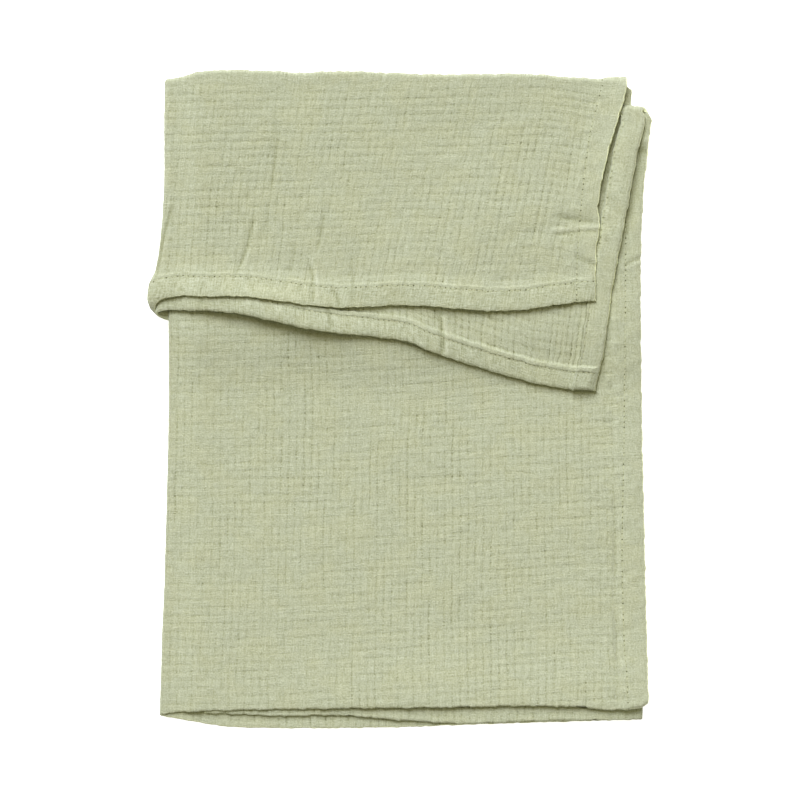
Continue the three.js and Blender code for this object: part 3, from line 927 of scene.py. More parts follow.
def check_strengths(across, along, points, u, v):
    """How strongly the weft and the warp are pulled in at each point."""
    # Each line has its own strong and weak stretches, and so have whole patches of the cloth.
    weft = 0.15 + 1.1 * noise(u / 17, np.round(v / WEFT_PITCH) * 1.37, 5)
    warp = 0.1 + 1.2 * noise(v / 24, np.round(u / WARP_PITCH) * 1.71, 6)
    weft = weft * (0.7 + 0.6 * noise(u / 55, v / 60, 7))
    warp = warp * (0.6 + 0.8 * noise(u / 60, v / 70, 8))
    # The cloth is calmer over the top folds and in the hems.
    to_fold = OUTER_TOP_FOLD(points[:, 0]) - points[:, 1]
    stretched = FOLD_CALM * (1 - rise(to_fold, FOLD_REACH)) * (along > 5)
    on_inner_fold = rise(along - INNER_FOLD_START, 1 - INNER_FOLD_START) * (along < 2)
    calm = (1 - HEM_CALM * in_hems(across, along)) * (1 - stretched)
    calm = calm * (1 - INNER_FOLD_CALM * on_inner_fold)
    bolder = calm * np.where(level_of(across, along) == 3, UNDER_FLAP_BOLDER, 1)
    on_flap = along > FLAP_START
    weft = weft * bolder * np.where(on_flap, FLAP_WEFT, BODY_WEFT)
    return weft, warp * bolder * np.where(on_flap, FLAP_WARP, BODY_WARP)


def trough(place, pitch):
    """1 at every line of the check, 0 half way between."""
    return 0.5 + 0.5 * np.cos(2 * math.pi * place / pitch)


def crinkle(u, v, weft_strength, warp_strength):
    lines = WEFT_DEPTH * weft_strength * trough(v, WEFT_PITCH)
    lines = lines + WARP_DEPTH * warp_strength * trough(u, WARP_PITCH)
    puffs = uneven(u / 4.4, v / 5, 9) + 0.7 * uneven(u / 9, v / 8, 10)
    return PUFF_HEIGHT * puffs - lines


# %% [markdown]
# ## Hems
# A hem is plump between its folded edge and its row of stitches, which pull a groove into it.
# On the wrong side the turned-in edge stands up past the stitches like a bead. The cloth gathers
# a little at the stitches, in short puckers across the hem.

# %% Where the stitches run
STITCH_LENGTH = 4.6
END_INSET = 17.2
UNDER_END_INSET = 15.6
UNDER_SIDE_INSET = 17.6
BODY_SIDE_STITCHES = curve({
    -262: 196.8, -238: 195.8, -210: 193.6, -128: 191.8, -45: 193.3, 65: 194.4, 140: 194.6,
})
FLAP_SIDE_STITCHES = curve({
    84: 152.2, 120: 152.8, 142: 154.2, 184: 158, 229: 164, 243: 167.5, 270: 174.5,
})


def side_gap(across, along, points):
    """Distance in from the row of stitches of the side hem, less than 0 outside it."""
    x, y = points[:, 0], points[:, 1]
    level = level_of(across, along)
    from_side, _ = edge_distances(across, along)
    gap = from_side - UNDER_SIDE_INSET
    gap = np.where(level == 2, BODY_SIDE_STITCHES(y) - x, gap)
    return np.where(level == 4, FLAP_SIDE_STITCHES(y) - x, gap)


def end_gap(along, from_end):
    """Distance in from the row of stitches of the end hem."""
    return from_end - np.where(along < 3.5, UNDER_END_INSET, END_INSET)


# %% Relief of the hems
GROOVE_DEPTHS = {1: 0.2, -1: 0.25}
GROOVE_WIDTH = 0.9
PUCKER_HEIGHT = 0.8
PUCKER_REACH = 10
PUCKER_SLANT = 0.35
PLUMP_HEIGHTS = {1: 0.3, -1: 0.4}
BEAD_HEIGHT = 0.6
TURNED_IN = 3.4
CORNER_EASE = 1.5


def hem_relief(distance, gap, run, seed, side):
    """The groove, the plump band and the puckers of one hem. 'run' is the place along it."""
    groove = GROOVE_DEPTHS[side] * np.exp(-(gap / GROOVE_WIDTH) ** 2)
    width = np.maximum(distance - gap, 1)
    band = PLUMP_HEIGHTS[side] * np.sin(math.pi * np.clip(distance / width, 0, 1))
    near = np.exp(-np.abs(gap) / PUCKER_REACH) * (distance < 3 * HEM_WIDTH)
    slanting = run - PUCKER_SLANT * gap
    pucker = uneven(slanting / 3.8, distance / 26, seed)
    pucker = pucker + uneven(slanting / 6.5, distance / 40, seed + 1)
    relief = band - groove + PUCKER_HEIGHT * near * pucker
    if side < 0:
        bead = (gap > 0) & (distance < HEM_WIDTH + HEM_STEP)
        relief = relief + BEAD_HEIGHT * bead * rise(gap, 1)
    return relief


# %% [markdown]
# ## Creases placed one by one
# Apart from the all-over check there are a few sharp creases that anyone would notice. Each row
# gives the level that it lies on, its two ends, how much it bows, and its height and width. A
# trough has a negative height. A pinch is a trough with a ridge beside it, so it is two rows. The
# material paints each crease by the same relief: troughs darker as painted shade, and ridges
# lighter as painted highlight.

# %% The creases that show
Crease = collections.namedtuple("Crease", "level x1 y1 x2 y2 bow height width")
CREASE_FADE = 0.15
CREASES = [
    Crease(4, -195.5, 166, -209, 106, -1.5, -1.2, 1.4),
    Crease(4, -106, 240, -110, 184, 1, -0.8, 1.4),
    Crease(4, -127, 152, -139.5, 110, 2, -1.5, 1.1),
    Crease(4, -123.5, 152, -136, 110, 2, 0.3, 1.8),
    Crease(4, -114, 165, -118.5, 137, 1, -0.6, 1.2),
    Crease(4, -91, 132, -96, 104, 1, -0.7, 1.3),
    Crease(4, -65, 160, -70.5, 131, 1, -1.0, 1.3),
    Crease(4, 174, 148, 128, 144, -1, 0.6, 1.8),
    Crease(4, 174, 144.5, 134, 141, -1, -0.7, 1.8),
    Crease(4, 173, 152, 134, 158, 1, -0.8, 2.6),
    Crease(4, 152, 122, 171, 113, 1, -1.0, 2),
    Crease(4, -78, 118, -74.5, 85, 2, -1.2, 1.3),
    Crease(4, -74.5, 118, -71, 85, 2, 0.7, 1.6),
    Crease(4, -58, 94, -52, 81, 1.5, -1.1, 1.4),
    Crease(4, -42, 120, -40, 82, 1, -0.7, 1.5),
    Crease(3, 33, 74, 36, 38, 2, -1.2, 1.8),
    Crease(3, 38, 70, 41, 38, 2, 0.7, 1.8),
    Crease(3, -62, 76, -60, 58, 1.5, -1.1, 1.4),
    Crease(3, 175.5, 170, 190, 244, 0.6, -0.9, 2.4),
    Crease(2, 209.5, 220, 193.5, 138, 0, -0.6, 3.2),
    Crease(2, 194, 115.5, 209, 121.5, 1, -0.8, 1.8),
    Crease(2, 194, 112, 209, 118, 1, 0.5, 1.6),
    Crease(2, 184.5, -80, 186, -262, -1, -0.45, 1.4),
    Crease(2, 209, 222, 216, 225, 0, 0.8, 2.2),
    Crease(2, 207, 215, 214, 212, 0, -0.9, 2.4),
]


def crease_relief(level, x, y):
    relief = 0 * x
    for crease in CREASES:
        if crease.level != level:
            continue
        run = np.array([crease.x2 - crease.x1, crease.y2 - crease.y1])
        length = np.hypot(*run)
        way = run / length
        along = ((x - crease.x1) * way[0] + (y - crease.y1) * way[1]) / length
        beside = (y - crease.y1) * way[0] - (x - crease.x1) * way[1]
        beside = beside - crease.bow * np.sin(math.pi * np.clip(along, 0, 1))
        fade_in = rise(along + CREASE_FADE, 2 * CREASE_FADE)
        fade = fade_in * rise(1 + CREASE_FADE - along, 2 * CREASE_FADE)
        relief = relief + crease.height * fade * np.exp(-(beside / crease.width) ** 2)
    return relief


def all_creases(across, along, points):
    level = level_of(across, along)
    x, y = points[:, 0], points[:, 1]
    return sum((level == number) * crease_relief(number, x, y) for number in (2, 3, 4))


# %% All the relief together, for the skins that show
PUFFED_UP = 0.4
DEEPEST = -0.75
SHORT_SWELL_HEIGHT = 0.5 * SWELL_HEIGHT


def relief(across, along, points, side):
    """How far a skin that shows stands out from the plain fold, in millimetres."""
    u, v = flat_places(across, along, points)
    from_side, from_end = edge_distances(across, along)
    total = crinkle(u, v, *check_strengths(across, along, points, u, v))
    total += SHORT_SWELL_HEIGHT * uneven(u / 21, v / 19, 21)
    side_hem = hem_relief(from_side, side_gap(across, along, points), v, 30, side)
    end_hem = hem_relief(from_end, end_gap(along, from_end), u, 40, side)
    if side < 0:
        side_hem = side_hem * rise(from_end - HEM_WIDTH, CORNER_EASE)
        end_hem = end_hem * rise(from_side - TURNED_IN, CORNER_EASE)
    total += side_hem + end_hem + all_creases(across, along, points)
    return np.maximum(PUFFED_UP + total, DEEPEST)


# %% [markdown]
# ## Places of all the points
# Each skin stands half the cloth's thickness off its middle. Towards a free edge the two skins
# come together in half a circle, and that makes the round edge of a hem. The hems are thicker on
# the wrong side, where the cloth is turned over, and end in a round step.

# %% Points of the two skins
HEM_FADE = 0.1
PRESSED_PAST_CREASE = 0.6
SIDE_HEM_THICKER = 1.5
RIGHT_SIDE_EXTRA = 0.15


def round_step(distance):
    """1 up to the hem's width, then down to 0 in a quarter of a circle."""
    past = np.clip((distance - HEM_WIDTH) / HEM_STEP, 0, 1)
    return np.sqrt(1 - past * past)


def hem_extra(across, along):
    """The hems' extra thickness: twice at a corner, less from the left crease on."""
    from_side, from_end = edge_distances(across, along)
    on_side = np.where(across < 1, SIDE_HEM_THICKER * round_step(from_side), 0)
    on_end = round_step(from_end)
    twice = on_side * on_end * rise(from_side - TURNED_IN, CORNER_EASE)
    pressed_flat = PRESSED_PAST_CREASE * rise(across - 1 + HEM_FADE, HEM_FADE)
    return (np.maximum(on_side, on_end) + twice) * (1 - pressed_flat)


def edge_roundness(across, along):
    """0 at a free edge, 1 where the cloth has its whole thickness, round between."""
    from_side, from_end = edge_distances(across, along)
    short = 1 - np.clip(np.minimum(from_side, from_end) / EDGE_ROUND, 0, 1)
    return np.sqrt(1 - short * short)


def skin_points(across, along, side, shows):
    """Places on one skin. 'shows' is 1 where it has its crinkles and 0 where it is plain."""
    points = cloth_points(across, along)
    normals = cloth_normals(across, along)
    extra = WRONG_SIDE_EXTRA if side < 0 else RIGHT_SIDE_EXTRA
    stands_out = CLOTH / 2 + extra * hem_extra(across, along)
    stands_out = stands_out + shows * relief(across, along, points, side)
    stands_out = stands_out * edge_roundness(across, along)
    skin = points + normals * (side * stands_out)[:, None]
    skin[:, 2] = np.maximum(skin[:, 2], 0)
    return skin, points


def points_that_show(patches):
    """1 on the points inside fine patches, and 0 on every point of a hidden one."""
    shows = np.zeros(line_count, bool)
    hidden = np.zeros(line_count, bool)
    for patch in patches:
        target = shows if patch.fine else hidden
        target[lines_in(patch)] = True
    return (shows & ~hidden).astype(float)


# %% Places and the numbers that the material reads
WRONG_SIDE = {1: 0, -1: 1}
vertices = np.zeros((vertex_count, 3))
materials_read = {name: np.zeros((vertex_count, 3)) for name in ("cloth_place_and_crease_shade", "check", "hem")}
for number, patches, side in zip(skin_numbers, skin_patches, SKINS):
    rows, columns = np.nonzero(number >= 0)
    across, along = across_lines[rows], along_lines[columns]
    chosen = number[rows, columns]
    shows = points_that_show(patches)[rows, columns]
    skin, middle = skin_points(across, along, side, shows)
    u, v = flat_places(across, along, middle)
    weft, warp = check_strengths(across, along, middle, u, v)
    from_side, from_end = edge_distances(across, along)
    read_here = {
        # Z is the creases' relief turned over. The material paints it as shade in the troughs and
        # as a highlight on the ridges.
        "cloth_place_and_crease_shade": [u, v, -all_creases(across, along, middle)],
        "check": [weft, warp, WRONG_SIDE[side] + 0 * u],
        "hem": [
            side_gap(across, along, middle),
            end_gap(along, from_end),
            rim_highlight_distance(along, from_side, from_end),
        ],
    }
    vertices[chosen] = skin
    for name, columns_read in read_here.items():
        materials_read[name][chosen] = np.stack(columns_read, axis=-1)
print("height of the pile in millimetres:", round(float(vertices[:, 2].max()), 1))

# %% The mesh of the sheet
def add_piece(name, points, faces):
    """A smooth mesh of points in millimetres, as an object in the scene."""
    mesh = bpy.data.meshes.new(name)
    mesh.from_pydata((points * MILLIMETRE).tolist(), [], faces)
    mesh.shade_smooth()
    piece = bpy.data.objects.new(name, mesh)
    bpy.context.scene.collection.objects.link(piece)
    return piece


sheet = add_piece("folded_sheet", vertices, faces)
for name, values in materials_read.items():
    attribute = sheet.data.attributes.new(name, "FLOAT_VECTOR", "POINT")
    attribute.data.foreach_set("vector", values.astype(np.float32).ravel())

# %% [markdown]
# ## Stitches
# The hems are sewn with a straight stitch of 4.6 mm in thread of the cloth's own colour. Each
# stitch is a short thread that dips into the cloth at both ends, so it is built as a tube with
# five rings. Only the rows of stitches that show are made, and they are joined into one mesh.

# %% Middle lines of the stitches
STITCH_RINGS = 5
STITCH_SIDES = 6
THREAD_RADIUS = 0.27
STITCH_GAP = 1.2
THREAD_LIFT = 0.14


def stitch_lines(side, across, along, place_of):
    """Middle line of every stitch on one row. 'place_of' picks the place along the hem."""
    middle = cloth_points(across, along)
    run = flat_places(across, along, middle)[place_of]
    in_order = np.argsort(run)
    first = math.ceil(run.min() / STITCH_LENGTH)
    last = math.floor(run.max() / STITCH_LENGTH)
    centres = (np.arange(first, last) + 0.5) * STITCH_LENGTH
    shares = np.linspace(-0.5, 0.5, STITCH_RINGS) * (STITCH_LENGTH - STITCH_GAP)
    places = (centres[:, None] + shares[None, :]).ravel()
    a = np.interp(places, run[in_order], across[in_order])
    b = np.interp(places, run[in_order], along[in_order])
    skin, _ = skin_points(a, b, side, np.ones(len(a)))
    normals = side * cloth_normals(a, b)
    arch = np.tile(np.sin(math.pi * np.linspace(0.04, 0.96, STITCH_RINGS)), len(centres))
    skin = skin + normals * (THREAD_LIFT * (2 * arch - 1))[:, None]
    shape = (len(centres), STITCH_RINGS, 3)
    return skin.reshape(shape), normals.reshape(shape)


# %% Tubes along them
def stitch_tubes(lines, normals, first_number):
    """Round tubes along the stitches, closed at both ends."""
    ways = lines[:, -1:] - lines[:, :1]
    ways = ways / np.linalg.norm(ways, axis=2, keepdims=True)
    beside = np.cross(np.broadcast_to(ways, normals.shape), normals)
    thick = THREAD_RADIUS * np.sqrt(np.sin(math.pi * np.linspace(0.1, 0.9, STITCH_RINGS)))
    points = []
    for k in range(STITCH_SIDES):
        angle = 2 * math.pi * k / STITCH_SIDES
        out = math.cos(angle) * beside + math.sin(angle) * normals
        points.append(lines + thick[None, :, None] * out)
    points = np.stack(points, axis=2)
    size = STITCH_RINGS * STITCH_SIDES
    numbers = first_number + np.arange(len(lines) * size).reshape(-1, STITCH_RINGS, STITCH_SIDES)
    faces = []
    for stitch in numbers:
        rings = np.concatenate([stitch, stitch[:, :1]], axis=1)
        faces += quads_of(rings.T).tolist()
        faces += [stitch[0].tolist(), stitch[-1][::-1].tolist()]
    return points.reshape(-1, 3), faces


# %% Rows of stitches on the hems that show
END_ROW_STEPS = 900
SIDE_ROW_STEPS = 500
TRIES_ACROSS = np.linspace(0, 0.11, 40)


def end_row(share, start, end):
    """A row beside an end hem, from one place across the sheet to another."""
    across = np.linspace(start, end, END_ROW_STEPS)
    return across, np.full(len(across), share)


def side_row(start, end):
    """A row beside the free side hem of the front panel, where its gap to the stitches is 0."""
    along = np.linspace(start, end, SIDE_ROW_STEPS)
    a, b = np.meshgrid(TRIES_ACROSS, along, indexing="ij")
    gaps = side_gap(a.ravel(), b.ravel(), cloth_points(a.ravel(), b.ravel())).reshape(a.shape)
    across = [np.interp(0, gap, TRIES_ACROSS) for gap in gaps.T]
    return np.array(across), along


UPPER_SHARE, UNDER_SHARE = [i * HEM_SHARE / HEM_WIDTH for i in (END_INSET, UNDER_END_INSET)]
X_PLACE, Y_PLACE = 0, 1
stitch_rows = [
    (1, *end_row(len(SECTIONS) - UPPER_SHARE, 0.01, 1.3), X_PLACE),
    (-1, *end_row(UNDER_SHARE, 0.018, 1.0), X_PLACE),
    (1, *side_row(6.02, 6.995), Y_PLACE),
    (1, *side_row(2.02, 2.99), Y_PLACE),
    (-1, *side_row(0.21, 0.98), Y_PLACE),
]
stitch_points, stitch_faces = [], []
stitch_total = 0
for side, across, along, place_of in stitch_rows:
    points, tube_faces = stitch_tubes(*stitch_lines(side, across, along, place_of), stitch_total)
    stitch_points.append(points)
    stitch_faces += tube_faces
    stitch_total += len(points)
stitches = add_piece("hem_stitches", np.concatenate(stitch_points), stitch_faces)
print("stitches:", stitch_total // (STITCH_RINGS * STITCH_SIDES))


# %% [markdown]
# ## Node helpers
# Materials are trees of nodes. Two short helpers keep them readable: one adds a node and sets
# its inputs, the other starts a node group with named inputs and outputs.

# %% Helpers for node trees
def add_node(tree, kind, inputs=None, **settings):
    """A node with its settings and inputs. An input may be a value or another node's output."""
    node = tree.nodes.new(kind)
    for name, value in settings.items():
        setattr(node, name, value)
    for name, value in (inputs or {}).items():
        if isinstance(value, bpy.types.NodeSocket):
            tree.links.new(value, node.inputs[name])
        else:
            node.inputs[name].default_value = value
    return node


def calculate(tree, operation, *values):
    inputs = dict(enumerate(values))
    return add_node(tree, "ShaderNodeMath", inputs, operation=operation).outputs[0]


def spread_value(tree, value, low, high, new_low=0.0, new_high=1.0):
    """Moves a value from one range to another with soft ends."""
    names = ("Value", "From Min", "From Max", "To Min", "To Max")
    inputs = dict(zip(names, (value, low, high, new_low, new_high)))
    node = add_node(tree, "ShaderNodeMapRange", inputs, interpolation_type="SMOOTHSTEP")
    return node.outputs["Result"]


def start_group(name, inputs, outputs):
    """A node group with inputs {name: (kind, default value)} and outputs {name: kind}."""
    group = bpy.data.node_groups.new(name, "ShaderNodeTree")
    for socket_name, (kind, value) in inputs.items():
        socket = group.interface.new_socket(socket_name, in_out="INPUT", socket_type=kind)
        if value is not None:
            socket.default_value = value
    for socket_name, kind in outputs.items():
        group.interface.new_socket(socket_name, in_out="OUTPUT", socket_type=kind)
    start = group.nodes.new("NodeGroupInput")
    end = group.nodes.new("NodeGroupOutput")
    return group, start.outputs, end.inputs


def use_group(tree, group, inputs):
    return add_node(tree, "ShaderNodeGroup", inputs, node_tree=group).outputs


FLOAT, VECTOR, COLOUR = "NodeSocketFloat", "NodeSocketVector", "NodeSocketColor"


def scaled(tree, vector, scale):
    """A vector times three numbers, used to stretch a noise along or across the threads."""
    inputs = {0: vector, 1: scale}
    return add_node(tree, "ShaderNodeVectorMath", inputs, operation="MULTIPLY").outputs[0]


def fine_noise(tree, vector, detail=2.0):
    inputs = {"Vector": vector, "Scale": 1.0, "Detail": detail, "Roughness": 0.55}
    node = add_node(tree, "ShaderNodeTexNoise", inputs, noise_dimensions="2D")
    return node.outputs["Fac"]


# %% [markdown]
# ## Lines of the check
# The mesh carries the soft swell of the check. The lines themselves, where the yarns of the two
# layers cross, are finer than its cells. This group draws them at the same places: a sharp line at
# every pitch, as strong as the mesh says, broken up by a little noise. The material darkens the
# lines partly for the crossing yarns and partly as painted shade in the troughs. The group's soft
# wave at the same pitch becomes painted light and shade on the puffs.

# %% Node group: check lines
check_lines, given, result = start_group(
    "Check lines",
    {
        "Place": (FLOAT, 0.0),
        "Beside": (FLOAT, 0.0),
        "Pitch": (FLOAT, WEFT_PITCH),
        "Width": (FLOAT, 1.0),
        "Strength": (FLOAT, 1.0),
    },
    {"Line": FLOAT, "Wave": FLOAT},
)
tree = check_lines
half_pitch = calculate(tree, "MULTIPLY", given["Pitch"], 0.5)
distance = calculate(tree, "PINGPONG", given["Place"], half_pitch)
line = calculate(tree, "SUBTRACT", 1.0, spread_value(tree, distance, 0.0, given["Width"]))
place = add_node(tree, "ShaderNodeCombineXYZ", {
    "X": calculate(tree, "MULTIPLY", given["Beside"], 0.45),
    "Y": calculate(tree, "DIVIDE", given["Place"], given["Pitch"]),
})
breaks = spread_value(tree, fine_noise(tree, place.outputs[0]), 0.35, 0.62, 0.0, 1.35)
strength = calculate(tree, "MULTIPLY", given["Strength"], breaks)
tree.links.new(calculate(tree, "MULTIPLY", line, strength), result["Line"])
turns = calculate(tree, "DIVIDE", given["Place"], given["Pitch"])
wave = calculate(tree, "COSINE", calculate(tree, "MULTIPLY", turns, 2 * math.pi))
tree.links.new(calculate(tree, "MULTIPLY", wave, given["Strength"]), result["Wave"])

# %% [markdown]
# ## Yarns
# Gauze yarns are uneven, and a few of them lie closer than the rest. Seen from a step away that
# gives fine streaks down the warp and across the weft, and a grain where the crinkled yarns
# catch the light. The group makes both, and the weave itself, one yarn over and one under, at
# its real pitch.

# %% Node group: yarns
yarns_group, given, result = start_group(
    "Yarns",
    {
        "Cloth": (VECTOR, None),
        "Streak Width": (FLOAT, 1.3),
        "Grain Size": (FLOAT, 1.35),
        "Yarn Pitch": (FLOAT, 0.62),
    },
    {"Streaks": FLOAT, "Grain": FLOAT, "Weave": FLOAT},
)
tree = yarns_group
narrow = calculate(tree, "DIVIDE", 1.0, given["Streak Width"])
warp_scale = add_node(tree, "ShaderNodeCombineXYZ", {"X": narrow, "Y": 0.1})
weft_scale = add_node(tree, "ShaderNodeCombineXYZ", {"X": 0.12, "Y": narrow})
warp_streak = fine_noise(tree, scaled(tree, given["Cloth"], warp_scale.outputs[0]))
weft_streak = fine_noise(tree, scaled(tree, given["Cloth"], weft_scale.outputs[0]))
streaks = calculate(tree, "MULTIPLY_ADD", weft_streak, 0.8, warp_streak)
tree.links.new(calculate(tree, "SUBTRACT", streaks, 0.9), result["Streaks"])
grain_scale = calculate(tree, "DIVIDE", 1.0, given["Grain Size"])
grain_place = add_node(
    tree, "ShaderNodeVectorMath", {0: given["Cloth"], 3: grain_scale}, operation="SCALE"
)
grain = fine_noise(tree, grain_place.outputs[0], 1.0)
tree.links.new(calculate(tree, "SUBTRACT", grain, 0.5), result["Grain"])
turns = calculate(tree, "DIVIDE", math.pi, given["Yarn Pitch"])
angles = add_node(tree, "ShaderNodeVectorMath", {0: given["Cloth"], 3: turns}, operation="SCALE")
parts = add_node(tree, "ShaderNodeSeparateXYZ", {0: angles.outputs[0]})
over = calculate(tree, "SINE", parts.outputs["X"])
under = calculate(tree, "SINE", parts.outputs["Y"])
tree.links.new(calculate(tree, "MULTIPLY", over, under), result["Weave"])

# %% [markdown]
# ## Needle holes
# The needle leaves a row of tiny dark holes, one at each end of a stitch. The group takes the
# distance from the row and the place along it, and gives a round mask for each hole.

# %% Node group: needle holes
needle_holes, given, result = start_group(
    "Needle holes",
    {
        "Run": (FLOAT, 0.0),
        "Beside": (FLOAT, 0.0),
        "Stitch": (FLOAT, STITCH_LENGTH),
        "Radius": (FLOAT, 0.8),
    },
    {"Hole": FLOAT},
)
tree = needle_holes
half_stitch = calculate(tree, "DIVIDE", given["Stitch"], 2.0)
from_hole = calculate(tree, "PINGPONG", given["Run"], half_stitch)
spot = add_node(tree, "ShaderNodeCombineXYZ", {"X": from_hole, "Y": given["Beside"]})
distance = add_node(tree, "ShaderNodeVectorMath", {0: spot.outputs[0]}, operation="LENGTH")
inner = calculate(tree, "MULTIPLY", given["Radius"], 0.4)
hole = spread_value(tree, distance.outputs["Value"], inner, given["Radius"], 1.0, 0.0)
tree.links.new(hole, result["Hole"])

# %% [markdown]
# ## Dye mottle
# The colour isn't quite even: the green shifts a little to a warmer sand colour in soft patches
# of two or three centimetres. The group mixes two colours by such a noise, and both the cloth
# and its thread use it, so that they look dyed together.

# %% Node group: dye mottle
dye_mottle, given, result = start_group(
    "Dye mottle",
    {
        "Cloth": (VECTOR, None),
        "Green": (COLOUR, (0.4, 0.42, 0.26, 1)),
        "Sand": (COLOUR, (0.42, 0.39, 0.27, 1)),
        "Patch": (FLOAT, 26.0),
    },
    {"Color": COLOUR},
)
tree = dye_mottle
patch_scale = calculate(tree, "DIVIDE", 1.0, given["Patch"])
patch_place = add_node(
    tree, "ShaderNodeVectorMath", {0: given["Cloth"], 3: patch_scale}, operation="SCALE"
)
patches = fine_noise(tree, patch_place.outputs[0], 3.0)
share = spread_value(tree, patches, 0.35, 0.7)
dye = add_node(tree, "ShaderNodeMix", {
    "Factor": share, 6: given["Green"], 7: given["Sand"],
}, data_type="RGBA")
tree.links.new(dye.outputs[2], result["Color"])


# %% [markdown]
# ## The gauze
# The material puts the groups together, and reads three things from the mesh: the place on the flat
# cloth with the depth of the creases, the strengths of the check with a mark for the wrong side,
# and the distances to the stitches and edges of the hems. Lines and holes darken the colour and
# press in. The lines are darker partly where the yarns cross and partly as painted shade in the
# troughs of the check, and a soft wave at the check's pitch adds painted light and shade on its
# puffs. The creases are painted darker in their troughs and lighter on their ridges, as painted
# shade and painted highlight. Yarns lighten the colour a little and stand out, and a line of shade
# runs along the foot of the turned-over side hem. The end hems are a little darker, a painted shade
# that tones down the light on their raised slopes. What is darker is also a little less blue, as
# dyed cloth is where light meets it more than once. The rims of hems and bottom folds are painted
# lighter, a painted highlight. Cotton is matt, with a faint sheen. Distances are in millimetres.

# %% Material of the sheet
def linear(*srgb):
    """A colour picked in a picture, from 0 to 255, as the light that nodes work with."""
    share = np.array(srgb) / 255
    light = np.where(share <= 0.04045, share / 12.92, ((share + 0.055) / 1.055) ** 2.4)
    return (*light.tolist(), 1.0)


GREEN = linear(173, 177, 156)
SAND = linear(174, 177, 153)
WEFT_LINE_WIDTH = 1.9
WARP_LINE_WIDTH = 1.1
ROUGHNESS = 0.9
BLUE_POWER = 1.35
FOOT_GAP = HEM_WIDTH + HEM_STEP - UNDER_SIDE_INSET
FOOT_WIDTH = 1.2
SIDE_RIM_HIGHLIGHT = 0.9
OTHER_RIM_HIGHLIGHT = 0.4
BLUE_OF_RIM_HIGHLIGHT = 0.8


def add_effects(tree, start, effects):
    """The start plus every effect times its gain."""
    total = start
    for effect, gain in effects:
        total = calculate(tree, "MULTIPLY_ADD", effect, gain, total)
    return total


gauze = bpy.data.materials.new("sage_gauze")
gauze.use_nodes = True
tree = gauze.node_tree
shader = tree.nodes["Principled BSDF"]
cloth = add_node(tree, "ShaderNodeAttribute", attribute_name="cloth_place_and_crease_shade").outputs["Vector"]
check = add_node(tree, "ShaderNodeAttribute", attribute_name="check").outputs["Vector"]
hems = add_node(tree, "ShaderNodeAttribute", attribute_name="hem").outputs["Vector"]
flat = add_node(tree, "ShaderNodeSeparateXYZ", {0: cloth}).outputs
pull = add_node(tree, "ShaderNodeSeparateXYZ", {0: check}).outputs
hem = add_node(tree, "ShaderNodeSeparateXYZ", {0: hems}).outputs

weft = use_group(tree, check_lines, {
    "Place": flat["Y"], "Beside": flat["X"], "Pitch": WEFT_PITCH, "Width": WEFT_LINE_WIDTH,
    "Strength": pull["X"],
})
warp = use_group(tree, check_lines, {
    "Place": flat["X"], "Beside": flat["Y"], "Pitch": WARP_PITCH, "Width": WARP_LINE_WIDTH,
    "Strength": pull["Y"],
})
lines = calculate(tree, "ADD", warp["Line"], weft["Line"])
crossings = calculate(tree, "MULTIPLY", warp["Line"], weft["Line"])
# The check lines darken the colour partly where the yarns cross and partly as painted shade in the
# troughs.
marks = calculate(tree, "MULTIPLY_ADD", crossings, 0.8, lines)
# Painted light and shade: a soft wave, darker at the lines and lighter on the puffs between them.
puff_light_and_shade = calculate(tree, "ADD", warp["Wave"], weft["Wave"])
yarns = use_group(tree, yarns_group, {"Cloth": cloth})
side_holes = use_group(tree, needle_holes, {"Run": flat["Y"], "Beside": hem["X"]})["Hole"]
end_holes = use_group(tree, needle_holes, {"Run": flat["X"], "Beside": hem["Y"]})["Hole"]
all_holes = calculate(tree, "MAXIMUM", side_holes, end_holes)
clear = spread_value(tree, fine_noise(tree, scaled(tree, cloth, (0.2, 0.2, 0))), 0.3, 0.6)
holes_show = calculate(tree, "MULTIPLY_ADD", pull["Z"], -0.4, 1.0)
holes = calculate(tree, "MULTIPLY", calculate(tree, "MULTIPLY", all_holes, clear), holes_show)
# Painted highlight: a soft band along every free edge and bottom fold is painted lighter.
painted_edge_highlight = spread_value(tree, hem["Z"], 0.2, 1.8, 1.0, 0.0)
from_foot = calculate(tree, "ABSOLUTE", calculate(tree, "SUBTRACT", hem["X"], FOOT_GAP))
foot = spread_value(tree, from_foot, 0.0, FOOT_WIDTH, 1.0, 0.0)
for limit in (
    pull["Z"],
    spread_value(tree, hem["Y"], 4.0, 6.0),
    spread_value(tree, hem["Y"], 60.0, 110.0, 1.0, 0.0),
):
    foot = calculate(tree, "MULTIPLY", foot, limit)

dye = use_group(tree, dye_mottle, {"Cloth": cloth, "Green": GREEN, "Sand": SAND})["Color"]
in_hem = spread_value(tree, hem["Y"], -1.0, 1.5, 1.0, 0.0)
streak_gain = calculate(tree, "MULTIPLY_ADD", in_hem, 0.3, 0.35)
# Painted shade: the end hems are a little darker, which tones down the light on their raised
# slopes.
ground = calculate(tree, "MULTIPLY_ADD", in_hem, -0.045, 1.025)
shade = add_effects(tree, ground, [
    (yarns["Streaks"], streak_gain),
    (yarns["Grain"], 0.5),
    (puff_light_and_shade, -0.02),
    (marks, -0.12),
    # painted shade in the crease troughs and painted highlight on their ridges
    (flat["Z"], -0.24),
    (painted_edge_highlight, 0.08),
    (foot, -0.3),
    (holes, -0.65),
])
